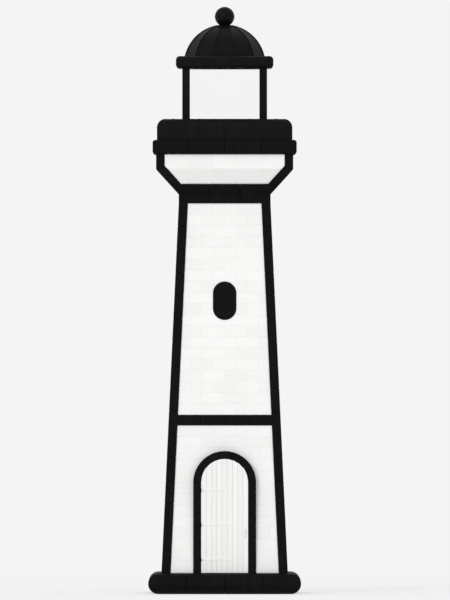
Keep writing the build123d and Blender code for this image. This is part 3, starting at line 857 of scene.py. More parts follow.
@dataclass(frozen=True)
class Paint:
    """Thick paint on masonry, iron or timber: its colour, how it weathers and how it shines."""

    name: str
    colour: Colour
    faded: Colour
    streak: Colour
    # the colour of joints and hollows, dirt and painted shade alike; the timber's fibres darken towards it
    # too
    joint: Colour
    roughness: float
    specular: float
    mottling: float
    streaking: float
    grain_scale: float
    grain_depth: float
    tone_depth: float = 0.0
    timber: bool = False
    joint_dirt_and_shade_strength: float = 0.8
    fibre_strength: float = 0.18
    roughness_swing: float = 0.06
    bump_strength: float = 0.6

    def material(self) -> bpy.types.Material:
        """Builds the material.

        The colour is mixed towards the faded colour by the mottling, towards the streak colour down the
        rain's way and towards the joint colour in hollows, which is dirt and painted shade in the joints, and
        each stone's tone lifts or dims it.

        Returns:
            The material.
        """
        made = bpy.data.materials.new(self.name)
        writer = NodeWriter.on(made)
        weather = writer.node("ShaderNodeGroup", node_tree=Effects.weather())
        weather.inputs["Grain scale"].default_value = self.grain_scale
        mottle = writer.math("MULTIPLY", weather.outputs["Mottle"], self.mottling)
        colour = writer.tint(self.colour, self.faded, mottle)
        streaks = writer.math("MULTIPLY", weather.outputs["Streaks"], self.streaking)
        colour = writer.tint(colour, self.streak, streaks)
        # Hollows take the joint colour: dirt and painted shade in the joints and at the roots of raised
        # blocks.
        hollow = writer.node("ShaderNodeAttribute", attribute_name="hollow").outputs["Fac"]
        colour = writer.tint(colour, self.joint, writer.math("MULTIPLY", hollow, self.joint_dirt_and_shade_strength))
        height = weather.outputs["Grain"]
        if self.timber:
            grain = writer.node("ShaderNodeGroup", node_tree=Effects.timber())
            fibres = writer.remap(grain.outputs["Fibres"], low=0.35, high=0.75, to_high=self.fibre_strength)
            colour = writer.tint(colour, self.joint, fibres)
            height = writer.math("ADD", grain.outputs["Fibres"], grain.outputs["Brush"])
        if self.tone_depth:
            tone = writer.node("ShaderNodeAttribute", attribute_name="tone").outputs["Fac"]
            value = writer.math("MULTIPLY_ADD", tone, self.tone_depth, 1.0)
            colour = writer.node("ShaderNodeHueSaturation", {"Value": value, "Color": colour}).outputs[0]
        lowest, highest = self.roughness - self.roughness_swing, self.roughness + self.roughness_swing
        relief = {"Strength": self.bump_strength, "Distance": self.grain_depth, "Height": height}
        inputs = {
            "Base Color": colour,
            "Roughness": writer.remap(weather.outputs["Mottle"], to_low=lowest, to_high=highest),
            "Specular IOR Level": self.specular,
            "Normal": writer.node("ShaderNodeBump", relief).outputs["Normal"],
        }
        shader = writer.node("ShaderNodeBsdfPrincipled", inputs)
        writer.node("ShaderNodeOutputMaterial", {"Surface": shader.outputs[0]})
        return made


@dataclass(frozen=True)
class Glass:
    """Sheet glass: its tint, how strongly it bends light, and the film of salt that dulls it in patches."""

    name: str
    tint: Colour
    ior: float
    film: float
    dulling: float
    clear_to_lamps: bool = False

    def material(self) -> bpy.types.Material:
        """Builds the material.

        The film darkens the tint and roughens the sheet where the weather's mottling is strong.
        Glass that lets lamps through is clear to the rays that look for a lamp, so that a glazed room is lit.

        Returns:
            The material.
        """
        made = bpy.data.materials.new(self.name)
        writer = NodeWriter.on(made)
        weather = writer.node("ShaderNodeGroup", node_tree=Effects.weather())
        mottle = weather.outputs["Mottle"]
        faded = tuple((1.0 - self.dulling) * part for part in self.tint)
        inputs = {
            "Base Color": writer.tint(self.tint, faded, mottle),
            "Roughness": writer.remap(mottle, to_high=self.film) if self.film else 0.0,
            "IOR": self.ior,
            "Transmission Weight": 1.0,
        }
        surface = writer.node("ShaderNodeBsdfPrincipled", inputs).outputs[0]
        if self.clear_to_lamps:
            path = writer.node("ShaderNodeLightPath")
            clear = writer.node("ShaderNodeBsdfTransparent", {"Color": (*self.tint, 1.0)})
            sides = {0: path.outputs["Is Shadow Ray"], 1: surface, 2: clear.outputs[0]}
            surface = writer.node("ShaderNodeMixShader", sides).outputs[0]
        writer.node("ShaderNodeOutputMaterial", {"Surface": surface})
        return made


class Finish(Enum):
    """The lighthouse's finishes. Each value is the finish and the record's slot that it stands for."""

    WHITE_WALL = (
        Paint(
            "white_masonry_paint",
            colour=(0.905, 0.903, 0.895),
            faded=(0.865, 0.86, 0.848),
            streak=(0.80, 0.79, 0.77),
            joint=(0.70, 0.69, 0.67),
            roughness=0.72,
            specular=0.3,
            mottling=0.5,
            streaking=0.22,
            grain_scale=55.0,
            grain_depth=0.0022,
            tone_depth=0.022,
        ),
        "white_stone",
    )
    BLACK_STONE = (
        Paint(
            "black_masonry_paint",
            colour=(0.0032, 0.0032, 0.0035),
            faded=(0.0056, 0.0056, 0.0060),
            streak=(0.0125, 0.0125, 0.0125),
            joint=(0.002, 0.002, 0.002),
            roughness=0.55,
            specular=0.055,
            mottling=0.6,
            streaking=0.35,
            grain_scale=55.0,
            grain_depth=0.0022,
            tone_depth=0.3,
        ),
        "black_stone",
    )
    BLACK_IRON = (
        Paint(
            "black_iron_paint",
            colour=(0.0030, 0.0030, 0.0034),
            faded=(0.0048, 0.0048, 0.0053),
            streak=(0.0105, 0.0098, 0.0094),
            joint=(0.002, 0.002, 0.002),
            roughness=0.44,
            specular=0.08,
            mottling=0.5,
            streaking=0.3,
            grain_scale=38.0,
            grain_depth=0.0005,
            tone_depth=0.2,
        ),
        "black_iron",
    )
    BARE_STONE = (
        Paint(
            "bare_dressed_stone",
            colour=(0.42, 0.40, 0.37),
            faded=(0.33, 0.315, 0.29),
            streak=(0.27, 0.26, 0.24),
            joint=(0.17, 0.165, 0.15),
            roughness=0.85,
            specular=0.25,
            mottling=0.8,
            streaking=0.2,
            grain_scale=75.0,
            grain_depth=0.004,
            tone_depth=0.12,
        ),
        "bare_stone",
    )
    WHITE_WOOD = (
        Paint(
            "white_timber_paint",
            colour=(0.905, 0.903, 0.893),
            faded=(0.86, 0.855, 0.84),
            streak=(0.80, 0.79, 0.77),
            joint=(0.62, 0.61, 0.59),
            roughness=0.5,
            specular=0.35,
            mottling=0.3,
            streaking=0.15,
            grain_scale=90.0,
            grain_depth=0.0012,
            tone_depth=0.03,
            timber=True,
        ),
        "white_wood",
    )
    WHITE_IRON = (
        Paint(
            "white_iron_paint",
            colour=(0.89, 0.888, 0.878),
            faded=(0.85, 0.845, 0.83),
            streak=(0.62, 0.56, 0.49),
            joint=(0.5, 0.48, 0.45),
            roughness=0.42,
            specular=0.4,
            mottling=0.3,
            streaking=0.2,
            grain_scale=40.0,
            grain_depth=0.0008,
        ),
        "white_iron",
    )
    # Tinted near black, so that the pane looks as dark as a shaded room behind it: painted shade.
    WINDOW_GLASS = (
        Glass("shade_tinted_sheet_glass", (0.04, 0.044, 0.048), 1.2, film=0.05, dulling=0.3),
        "window_glass",
    )
    LANTERN_GLASS = (
        Glass("clear_sheet_glass", (0.997, 1.0, 0.999), 1.15, film=0.0, dulling=0.01, clear_to_lamps=True),
        "lantern_glass",
    )

    @property
    def slot(self) -> str:
        """The record's slot."""
        return self.value[1]

    def material(self) -> bpy.types.Material:
        """The finish's material, built when it is first used."""
        recipe = self.value[0]
        return bpy.data.materials.get(recipe.name) or recipe.material()


# ---- Putting pieces in place ----
class Yard:
    """Where pieces are dressed and set on their bodies."""

    def __init__(self, seed: int = 7) -> None:
        """Starts the draw of the stones' tones from a seed."""
        self._draw = np.random.default_rng(seed)

    def tones(self, count: int) -> Points:
        """Tones for a number of stones, evenly between -1 and 1."""
        return self._draw.uniform(-1.0, 1.0, count)

    def place(
        self, name: str, shell: Shell, finish: Finish, body: Body = Body.TOWER, stands_for: Sequence[str] = ()
    ) -> None:
        """Makes a shell a piece of the model.

        Args:
            name: the piece's name.
            shell: its shape.
            finish: its finish.
            body: what it rides on.
            stands_for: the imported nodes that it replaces.
        """
        mesh = shell.mesh(name)
        mesh.materials.append(finish.material())
        piece = bpy.data.objects.new(name, mesh)
        bpy.context.scene.collection.objects.link(piece)
        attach(piece, body.value)
        if stands_for:
            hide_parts(*stands_for)
        LOG.info("%s: %d faces, %s, on %s", name, len(mesh.polygons), finish.slot, body.value)

    def dress(self, finish: Finish, *nodes: str) -> None:
        """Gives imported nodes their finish.

        Args:
            finish: the finish.
            nodes: the nodes' names.
        """
        for node in nodes:
            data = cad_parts[node].data
            data.materials.clear()
            data.materials.append(finish.material())
            LOG.info("%s: packed node in %s", node, finish.slot)


# ---- Masonry ----
@dataclass(frozen=True)
class Plinth:
    """The bullnosed base course of long stones, and the flags of the ground floor inside it."""

    stone_length: float = 1.04
    joint: Joint = Joint(0.026, 0.008, 0.011)
    nose_points: int = 17
    inner_half: float = 1.45
    flag_pitch: float = 0.58
    flag_gap: float = 0.008
    flag_arris: float = 0.006
    bed_depth: float = 0.012

    def build(self, yard: Yard) -> None:
        """Makes the stones and the flags.

        The stones' section ends in a half circle as wide as the plinth is high, and is carried round the
        square. The flags are the squares between even lines, drawn in by half a gap and raised from a bed.

        Args:
            yard: places and dresses the pieces.
        """
        node = NodeShape("plinth")
        half, top = node.high[0], node.high[2]
        edge, bed = self.inner_half, top - self.bed_depth
        nose = arc((half - top / 2, top / 2), top / 2, -90, 90, self.nose_points)
        section = np.concatenate([nose, [(edge, top), (edge, 0.0)]])
        stones = stone_ring(section, half, self.joint, self.stone_length)
        yard.place("plinth_stones", stones, Finish.BLACK_STONE, stands_for=["plinth"])

        square = rectangles(np.array([(-edge, -edge)]), np.array([(edge, edge)]))
        slab = raised(Face.level(0.0), square, self.flag_arris, bed, root=0.0)
        lines = row(edge, self.flag_pitch)
        low = np.stack(np.meshgrid(lines[:-1], lines[:-1], indexing="ij"), axis=-1).reshape(-1, 2)
        flags = inset(rectangles(low, low + (lines[1] - lines[0])), self.flag_gap / 2)
        tops = raised(Face.level(bed), flags, self.flag_arris, self.bed_depth)
        # The bed under the flags is wholly in the joint colour: dirt and painted shade in the gaps.
        floor = Shell().add(slab, hollow=1.0).add(tops, tone=yard.tones(len(flags)))
        yard.place("ground_floor_flags", floor, Finish.BARE_STONE)


@dataclass(frozen=True)
class Hole:
    """A hole in a wall that is taller than wide: straight sides between round ends, or one round head.

    Its half width at height b is the radius beside the core, and sqrt(r2 - d2) at a distance d past its ends.
    """

    core_low: float
    core_high: float
    radius: float
    round_foot: bool

    def half(self, b: Points) -> Points:
        """Half the hole's width at heights up the wall.

        Args:
            b: the heights.

        Returns:
            The half widths, 0 clear of the hole.
        """
        past = np.maximum(b - self.core_high, 0.0)
        if self.round_foot:
            past = np.maximum(past, self.core_low - b)
        return np.sqrt(np.maximum(self.radius**2 - past**2, 0.0))


@dataclass(frozen=True)
class Ashlar:
    """The coursed facing of a wall: thin blocks with chamfered arrises in a running bond."""

    course: float = 0.3
    length: float = 0.62
    gap: float = 0.008
    arris: float = 0.006
    out: float = 0.009
    overlap: float = 0.03
    shortest: float = 0.2
    edge_points: int = 22
    traced_points: int = 200

    def lay(
        self, shell: Shell, yard: Yard, side: Side, plane: Plane, ends: Values, hole: Hole | None = None
    ) -> None:
        """Lays the blocks of one plane of one wall.

        Courses share the height evenly. In each, upright joints stand every block's length, from the middle
        in one course and from half a block aside in the next. The end blocks reach to the wall's own edges,
        whose half width changes evenly up the wall. Blocks beside a hole follow its curve.

        Args:
            shell: takes the blocks.
            yard: gives their tones.
            side: the wall's side.
            plane: the plane.
            ends: half the facing's width at the foot and at the head.
            hole: what is cut out of it, or None.
        """
        face, height = Face.leaning(plane), math.dist(plane[:2], plane[2:])
        levels = np.linspace(0.0, height, max(1, round(height / self.course)) + 1)
        plain: list[Points] = []
        cut: list[Points] = []
        for n, (low, high) in enumerate(zip(levels[:-1], levels[1:])):
            edge = np.interp([low, high], [0.0, height], ends)
            steps = np.arange(0.0 if n % 2 else self.length / 2, edge.min() - self.shortest, self.length)
            walk = np.linspace(low, high, self.traced_points)
            opening = hole.half(walk) if hole else np.zeros_like(walk)
            if opening.max() > 0:
                steps = steps[steps > opening.max() + self.shortest]
            across = np.concatenate([np.stack([steps, steps], axis=-1), edge[None]])
            joints = np.stack([across, np.broadcast_to((low, high), across.shape)], axis=-1)
            if opening.max() > 0:
                curve = spaced(np.stack([opening, walk], axis=-1)[::-1], self.edge_points)
                cut += self._pair(np.concatenate([joints[0], curve]))
            elif n % 2 == 0:
                plain.append(np.concatenate([joints[0], (joints[0] * (-1, 1))[::-1]]))
            for left, right in zip(joints[:-1], joints[1:]):
                plain += self._pair(np.concatenate([right, left[::-1]]))
        for outlines in filter(None, (plain, cut)):
            shapes = inset(np.stack(outlines), self.gap / 2)
            blocks = turned(raised(face, shapes, self.arris, self.out), side.value)
            shell.add(blocks, tone=yard.tones(len(shapes)), hollow=ROOT_HOLLOW)

    @staticmethod
    def _pair(outline: Points) -> list[Points]:
        """An outline and its mirror image across the wall's middle line, both counter-clockwise."""
        return [outline, (outline * (-1, 1))[::-1]]


@dataclass(frozen=True)
class Walls:
    """The white walls of both storeys, faced all round, and cut round the doorway and the windows."""

    ashlar: Ashlar = Ashlar()

    def build(self, yard: Yard) -> None:
        """Faces every wall with blocks on the plane of its leaning face, from pilaster to pilaster.

        Args:
            yard: places and dresses the pieces.
        """
        lines = TowerLines.read()
        belt = NodeShape("belt_course")
        storeys = {"lower": (NodeShape("plinth").high[2], belt.low[2]), "upper": (belt.high[2], lines.head_z)}
        for storey, (low, high) in storeys.items():
            halves = [lines.half(z) - lines.setback for z in (low, high)]
            ends = [half + lines.setback - lines.pilaster + self.ashlar.overlap for half in halves]
            for side in Side:
                shell, hole = Shell(), self._hole(storey, side, low)
                self.ashlar.lay(shell, yard, side, (halves[0], low, halves[1], high), ends, hole)
                yard.place(f"{side.word}_facing_{storey}", shell, Finish.WHITE_WALL)
        front = [f"front_wall_{part}" for part in ("left", "right", "over_door", "upper")]
        others = [f"{word}_wall_{storey}" for word in ("left", "right", "back") for storey in storeys]
        yard.dress(Finish.WHITE_WALL, *front, *others)

    @staticmethod
    def _hole(storey: str, side: Side, low: float) -> Hole | None:
        """What is cut out of a wall, half way through the ring or the lining round the hole.

        Args:
            storey: lower or upper.
            side: the wall's side.
            low: the level of the wall's foot.

        Returns:
            The hole, or None for a blind wall.
        """
        if storey == "upper" and side in Windows.sides():
            window = Windows()
            reach = (window.height - window.width) / 2
            middle = window.centre - low
            return Hole(middle - reach, middle + reach, (window.width - window.ring) / 2, round_foot=True)
        if storey == "lower" and side is Side.FRONT:
            arch, leaf = NodeShape("door_arch"), NodeShape("door_leaf")
            return Hole(0.0, arch.low[2] - low, (arch.high[0] + leaf.high[0]) / 2, round_foot=False)
        return None


@dataclass(frozen=True)
class Pilasters:
    """The black corner pilasters: stones two courses high, square in plan, that lean in on both faces."""

    stone: float = 0.61
    joint: Joint = Joint(0.026, 0.008, 0.010)
    arris: float = 0.012

    def build(self, yard: Yard) -> None:
        """Makes one stack of stones on each corner, whose outer distance shrinks evenly with the level.

        Args:
            yard: places and dresses the pieces.
        """
        lines = TowerLines.read()
        levels, insets = self.joint.stations(lines.foot_z, lines.head_z, self.stone)
        outer = lines.half(levels)
        rings = corner_stack(levels, outer, outer - lines.pilaster, insets, self.arris)
        for corner in Corner:
            shell = Shell().add(turned(rings, corner.value), hollow=in_joints(insets))
            node = f"corner_pilaster_{corner.word}"
            yard.place(f"pilaster_stones_{corner.word}", shell, Finish.BLACK_STONE, stands_for=[node])


@dataclass(frozen=True)
class BeltCourse:
    """The black belt between the storeys, of long stones with a weathered top, and the floor behind it."""

    stone: float = 0.74
    joint: Joint = Joint(0.024, 0.008, 0.010)
    overlap: float = 0.02

    def build(self, yard: Yard) -> None:
        """Makes the four bars of stone: the belt's section carried from pilaster to pilaster.

        Args:
            yard: places and dresses the pieces.
        """
        lines, node = TowerLines.read(), NodeShape("belt_course")
        low, weather, high = node.levels[[0, 1, -1]]
        inner = node.halves(low)[0]
        outer = [(node.halves(z)[-1], z) for z in (low, weather, high)]
        section = np.array([*outer, (inner, high), (inner, low)])
        reach = lines.half(low) - lines.pilaster + self.overlap
        places, insets = self.joint.stations(-reach, reach, self.stone)
        shell = Shell().around(along_front(section, places, insets)[None], hollow=in_joints(insets))
        yard.place("belt_stones", shell, Finish.BLACK_STONE, stands_for=["belt_course"])
        yard.dress(Finish.BARE_STONE, "upper_floor")


# ---- Doorway and door ----
@dataclass(frozen=True)
class DoorSurround:
    """The doorway's lining: jamb stones and voussoirs round a rebate, in one plumb front."""

    chamfer: float = 0.018
    stone: float = 0.44
    voussoir: float = 0.33
    joint: Joint = Joint(0.022, 0.007, 0.008)
    arc_steps: int = 5
    stop_clearance: float = 0.005

    def build(self, yard: Yard) -> None:
        """Makes the lining as one section carried up a jamb, round the arch and down again.

        At a distance r from the doorway's middle line the path runs up at x = -r, turns about the springing
        point at (-r cos t, r sin t), and runs down at x = r. The section's points at y = 0 stand for its
        back, which follows the inner face of the leaning wall.

        Args:
            yard: places and dresses the pieces.
        """
        lines, jamb, arch = TowerLines.read(), NodeShape("door_jamb_left"), NodeShape("door_arch")
        foot, front, outer, passage = jamb.low[2], jamb.low[1], -jamb.low[0], -jamb.high[0]
        at_front = jamb.vertices[np.abs(jamb.vertices[:, 1] - front) < LEVEL_TOLERANCE]
        opening, stop = -at_front[:, 0].max(), NodeShape("door_leaf").high[1] + self.stop_clearance
        face = [(opening, front), (outer - self.chamfer, front), (outer, front + self.chamfer)]
        section = np.array([*face, (outer, 0.0), (passage, 0.0), (passage, stop), (opening, stop)])
        rise, bend = arch.low[2] - foot, math.pi * (outer + opening) / 2
        places, insets = self._stations(rise, bend)
        angles = np.clip((places - rise) / bend, 0.0, 1.0)[:, None] * math.pi
        shapes = sections(section, insets)
        up = np.minimum(rise, np.minimum(places, 2 * rise + bend - places))[:, None]
        z = foot + up + shapes[..., 0] * np.sin(angles)
        y = np.where(section[:, 1] == 0.0, lines.setback + lines.wall - lines.half(z), shapes[..., 1])
        rings = np.stack([-shapes[..., 0] * np.cos(angles), y, z], axis=-1)[None]
        shell = Shell().add(rings, hollow=in_joints(insets))
        nodes = ["door_jamb_left", "door_jamb_right", "door_arch"]
        yard.place("doorway_stones", shell, Finish.BLACK_STONE, stands_for=nodes)

    def _stations(self, rise: float, bend: float) -> tuple[Points, Points]:
        """Places the sections on the path: round each joint, and at even steps in each stone of the arch.

        Args:
            rise: the jambs' height.
            bend: the arch's length.

        Returns:
            The sections' places along the path, and their insets.
        """
        jamb = np.linspace(0.0, rise, round(rise / self.stone) + 1)
        arch = np.linspace(rise, rise + bend, round(bend / self.voussoir) + 1)
        end = 2 * rise + bend
        places, insets = self.joint.cut(0.0, np.concatenate([jamb[1:-1], arch, end - jamb[-2:0:-1]]), end)
        over = np.abs((places[:-1] + places[1:]) / 2 - end / 2) < bend / 2
        faces = np.flatnonzero((insets[:-1] == 0) & (insets[1:] == 0) & over)
        shares = np.linspace(0, 1, self.arc_steps + 1)[1:-1]
        new = (places[faces, None] + (places[faces + 1] - places[faces])[:, None] * shares).ravel()
        order = np.argsort(np.concatenate([places, new]), kind="stable")
        return np.concatenate([places, new])[order], np.concatenate([insets, np.zeros(len(new))])[order]


@dataclass(frozen=True)
class DoorLeaf:
    """The boarded leaf, its ledges, bolts and nuts, and its pull handle."""

    boards: int = 9
    vee: float = 0.009
    # how far the V's floor darkens to the joint colour: dirt and painted shade
    vee_dirt_and_shade: float = 0.6
    hairline: float = 0.0004
    head_points: int = 9
    bolt: Head = Head(0.012, 0.006, sides=10)
    nut: Head = Head(0.014, 0.011, sides=6)
    bolts_per_strap: int = 5
    first_bolt: float = 0.08
    last_bolt: float = 0.035

    def build(self, yard: Yard) -> None:
        """Makes the boards, the straps' bolts and the nuts on the ledges.

        A board's head follows the arch: sqrt(R2 - x2) above the springing. Its outline is carried through the
        leaf's thickness, narrower at both faces, so that two boards meet in a V.

        Args:
            yard: places and dresses the pieces.
        """
        leaf, straps = NodeShape("door_leaf"), NodeShape("door_straps")
        radius, front, back = leaf.high[0], leaf.low[1], leaf.high[1]
        edges = row(radius, 2 * radius / self.boards)
        left, right = edges[:-1], edges[1:]
        across = right[:, None] + (left - right)[:, None] * np.linspace(0, 1, self.head_points)
        head = NodeShape("door_arch").low[2] + np.sqrt(np.maximum(radius**2 - across**2, 0.0))
        x = np.concatenate([np.stack([left, right], axis=-1), across], axis=1)
        z = np.concatenate([np.full((self.boards, 2), leaf.low[2]), head], axis=1)
        middle, half = edges[:-1, None] + radius / self.boards, radius / self.boards
        full, shrunk = (middle + (x - middle) * (1 - by / half) for by in (self.hairline, self.vee))
        layers = [(shrunk, front), (full, front + self.vee), (full, back - self.vee), (shrunk, back)]
        rings = np.stack([np.stack([a, np.full(a.shape, y), z], axis=-1) for a, y in layers], axis=1)
        # The V between two boards darkens towards its floor: dirt and painted shade.
        hollow = np.array([0.0, self.vee_dirt_and_shade, self.vee_dirt_and_shade, 0.0])[None, :, None]
        shell = Shell().add(rings, tone=yard.tones(self.boards), hollow=hollow)
        yard.place("door_boards", shell, Finish.WHITE_WOOD, Body.DOOR, stands_for=["door_leaf"])

        x = np.linspace(leaf.low[0] + self.first_bolt, straps.high[0] - self.last_bolt, self.bolts_per_strap)
        bolts = self.bolt.at(x[:, None], front - Straps().thickness, straps.middles, TO_FRONT)
        yard.place("strap_bolts", Shell().add(bolts), Finish.WHITE_IRON, Body.DOOR)
        nuts = self.nut.at(x[:, None], NodeShape("door_ledges").high[1], straps.middles, TO_BACK)
        yard.place("ledge_nuts", Shell().add(nuts), Finish.WHITE_IRON, Body.DOOR)
        yard.dress(Finish.WHITE_WOOD, "door_ledges")
        yard.dress(Finish.WHITE_IRON, "door_handle")


@dataclass(frozen=True)
class Straps:
    """The leaf's strap hinges: tapered white bars, with knuckles as black as the stone behind them."""

    pin: tuple[float, float] = (-0.655, -1.77)
    eye_radius: float = 0.022
    bore_radius: float = 0.010
    height: float = 0.06
    length: float = 0.9
    tip_radius: float = 0.018
    thickness: float = 0.014
    relief: float = 0.006
    arris: float = 0.003
    eye_points: int = 32
    tip_points: int = 13

    def build(self, yard: Yard) -> None:
        """Makes the bars and the knuckles.

        A bar's half height falls evenly from the pin to its round tip. An eye is a chamfered rectangle turned
        about the pin, and a neck joins it to the bar.

        Args:
            yard: places and dresses the pieces.
        """
        leaf, levels = NodeShape("door_leaf"), NodeShape("door_straps").middles
        start, front, x = leaf.low[0], leaf.low[1], self.pin[0]
        tip = arc((x + self.length, 0.0), self.tip_radius, -90, 90, self.tip_points)
        root = np.interp(start, [x, x + self.length], [self.height / 2, self.tip_radius])
        outline = np.concatenate([[(start, -root)], tip, [(start, root)]])
        shapes = outline + np.stack([np.zeros_like(levels), levels], axis=-1)[:, None]
        plates = Shell().add(raised(Face.plumb(front), shapes, self.arris, self.thickness))
        yard.place("strap_bars", plates, Finish.WHITE_IRON, Body.DOOR, stands_for=["door_straps"])

        low = np.stack([np.full(len(levels), x), levels - root], axis=-1)
        neck = rectangles(low, low + (start - x, 2 * root))
        relieved, cut = Face.plumb(front - self.relief), self.arris / 2
        half = self.height / 2
        section = chamfered(np.array([self.bore_radius, -half]), np.array([self.eye_radius, half]), cut)
        lift = levels[:, None, None, None] * np.array(UP)
        knuckles = Shell().add(raised(relieved, neck, cut, self.thickness - self.relief, root=0.0))
        knuckles.add(revolved(section, self.eye_points, self.pin) + lift, loop=True)
        yard.place("strap_knuckles", knuckles, Finish.BLACK_IRON, Body.DOOR, stands_for=["door_straps"])


@dataclass(frozen=True)
class Pintles:
    """The pintles on the jamb, and the bolts through their plates."""

    plate_length: float = 0.15
    plate_thickness: float = 0.012
    edge: float = 0.024
    bolt: Head = Head(0.011, 0.006, sides=10)
    bolts: int = 3

    def build(self, yard: Yard) -> None:
        """Sets bolt heads in an even row along the middle of each plate.

        Args:
            yard: places and dresses the pieces.
        """
        node = NodeShape("door_pintles")
        x = node.low[0] + np.linspace(self.edge, self.plate_length - self.edge, self.bolts)[:, None]
        levels = np.array([(tier[0] + tier[-2]) / 2 for tier in node.tiers])  # the pin's tip is last
        front = NodeShape("door_leaf").low[1] - self.plate_thickness
        shell = Shell().add(self.bolt.at(x, front, levels, TO_FRONT))
        yard.place("pintle_bolts", shell, Finish.BLACK_IRON)
        yard.dress(Finish.BLACK_IRON, "door_pintles")


# ---- Windows ----
@dataclass(frozen=True)
class Windows:
    """The front and back windows: a moulded iron ring that leans with its wall, and bars before the glass."""

    width: float = 0.64
    height: float = 1.05
    centre: float = 7.98
    ring: float = 0.062
    proud: float = 0.025
    lip: float = 0.060
    rebate: float = 0.026
    depth: float = 0.17
    nose: float = 0.010
    cove: float = 0.014
    mould_points: int = 4
    round_points: int = 26
    bar_width: float = 0.024
    bar_depth: float = 0.034
    rails: int = 2
    bar_arris: float = 0.25

    @staticmethod
    def sides() -> tuple[Side, ...]:
        """The sides that have a window."""
        return Side.FRONT, Side.BACK

    def build(self, yard: Yard) -> None:
        """Makes the rings and the bars of one window, and turns them to each side.

        Args:
            yard: places and dresses the pieces.
        """
        lines = TowerLines.read()
        low, high = self.centre, self.centre + 1  # a metre of the wall gives its lean
        face = Face.leaning((lines.half(low) - lines.setback, low, lines.half(high) - lines.setback, high))
        ring, bar = self._ring(face), self._bars(face)
        rings, glazing = Shell(), Shell()
        for side in self.sides():
            rings.add(turned(ring, side.value), loop=True)
            glazing.add(turned(bar, side.value))
        yard.place("window_rings", rings, Finish.BLACK_IRON, stands_for=["window_frames"])
        yard.place("glazing_bars", glazing, Finish.BLACK_IRON)
        yard.dress(Finish.WINDOW_GLASS, "window_glass")

    def _ring(self, face: Face) -> Points:
        """The ring: its moulded section carried round a slot shape.

        At the angle t the section's point (u, w) lies at the radius (half width - u) from the centre of its
        round end, and stands w out of the wall.

        Args:
            face: the wall's face at the window's middle.

        Returns:
            The rings, shape (1, rings, points, 3).
        """
        glass, back = self.proud - self.lip, self.proud - self.depth
        outer = arc((self.nose, self.proud - self.nose), self.nose, 180, 90, self.mould_points)
        inner = arc((self.ring, self.proud), self.cove, 180, 270, self.mould_points)
        held = self.ring - self.rebate
        rebate = [(self.ring, glass), (held, glass), (held, back)]
        section = np.concatenate([[(0.0, back)], outer, inner, rebate])
        reach = (self.height - self.width) / 2
        t = np.radians(np.linspace(0, 180, self.round_points))
        turn = np.concatenate([t, t + np.pi])[:, None]
        lift = np.repeat([reach, -reach], len(t))[:, None]
        radius = self.width / 2 - section[None, :, 0]
        flat = np.stack([radius * np.cos(turn), lift + radius * np.sin(turn)], axis=-1)
        return face.points(flat, np.broadcast_to(section[:, 1], flat.shape[:2]))[None]

    def _bars(self, face: Face) -> Points:
        """The upright bar and the rails, from edge to edge of the ring, in front of the glass.

        Each is a chamfered rectangle carried along a straight line on the wall's plane.

        Args:
            face: the wall's face at the window's middle.

        Returns:
            The rings, shape (bars, 2, 8, 3).
        """
        wide, high = (self.width - self.ring) / 2, (self.height - self.ring) / 2
        levels = np.linspace(-high, high, self.rails + 2)[1:-1]
        ends = np.array([(0.0, high), *[(wide, b) for b in levels]])
        starts = np.array([(0.0, -high), *[(-wide, b) for b in levels]])
        out = self.proud - self.lip + self.bar_depth / 2
        across, up = np.array(face.across), np.array(face.up)
        sideways = np.stack([across, *[up] * self.rails]) * self.bar_width / 2
        outwards = np.broadcast_to(np.cross(across, up) * self.bar_depth / 2, sideways.shape)
        return bars(face.points(starts, out), face.points(ends, out), sideways, outwards, self.bar_arris)


# ---- Neck, corbel and gallery ----
@dataclass(frozen=True)
class NeckBand:
    """The black band at the tower's head: a ring of stones, plumb and then leaning out."""

    stone: float = 0.72
    joint: Joint = Joint(0.024, 0.008, 0.010)

    def build(self, yard: Yard) -> None:
        """Carries the band's section round the square: outside and inside, lines from level to level.

        Args:
            yard: places and dresses the pieces.
        """
        node = NodeShape("neck_band")
        low, bend, high = node.levels[[0, 1, -1]]
        foot, middle, head = (node.halves(z) for z in (low, bend, high))
        outer = [(foot[-1], low), (middle[-1], bend), (head[-1], high)]
        inner = [(head[0], high), (middle[-2], bend), (middle[0], bend), (foot[0], low)]
        shell = stone_ring(np.array(outer + inner), foot[-1], self.joint, self.stone)
        yard.place("neck_stones", shell, Finish.BLACK_STONE, stands_for=["neck_band"])


@dataclass(frozen=True)
class Corbel:
    """The white corbel faces, coursed like the walls, and the black knee brackets at their corners."""

    ashlar: Ashlar = Ashlar(course=0.5, length=0.66)
    arris: float = 0.012

    def build(self, yard: Yard) -> None:
        """Makes the brackets and faces both planes of each side.

        Outside and inside, a bracket runs out along a straight line from its foot to its bend, and then up.

        Args:
            yard: places and dresses the pieces.
        """
        brackets, panel = NodeShape("knee_brackets"), NodeShape("corbel_front")
        levels = brackets.levels[[0, 1, 2, -1]]
        foot, head = brackets.halves(levels[0]), brackets.halves(levels[-1])
        outer = np.interp(levels, levels[[0, 1]], (foot[-1], head[-1]))
        inner = np.interp(levels, levels[[0, 2]], (foot[0], head[0]))
        rings = corner_stack(levels, outer, inner, np.zeros(len(levels)), self.arris)
        yard.place("bracket_stones", Shell().around(rings), Finish.BLACK_STONE, stands_for=["knee_brackets"])

        bend = panel.levels[np.argmax([panel.halves(z)[-1] for z in panel.levels])]
        lines = np.array([levels[0], bend, levels[-1]])
        halves = [panel.halves(z)[-1] for z in lines]
        ends = np.interp(lines, levels, inner) + self.ashlar.overlap
        spans = (ends[:2], ends[[2, 2]])  # a bracket bends higher inside than the faces do
        for side in Side:
            shell = Shell()
            for n, span in enumerate(spans):
                plane = (halves[n], lines[n], halves[n + 1], lines[n + 1])
                self.ashlar.lay(shell, yard, side, plane, span)
            yard.place(f"corbel_facing_{side.word}", shell, Finish.WHITE_WALL)
            yard.dress(Finish.WHITE_WALL, f"corbel_{side.word}")


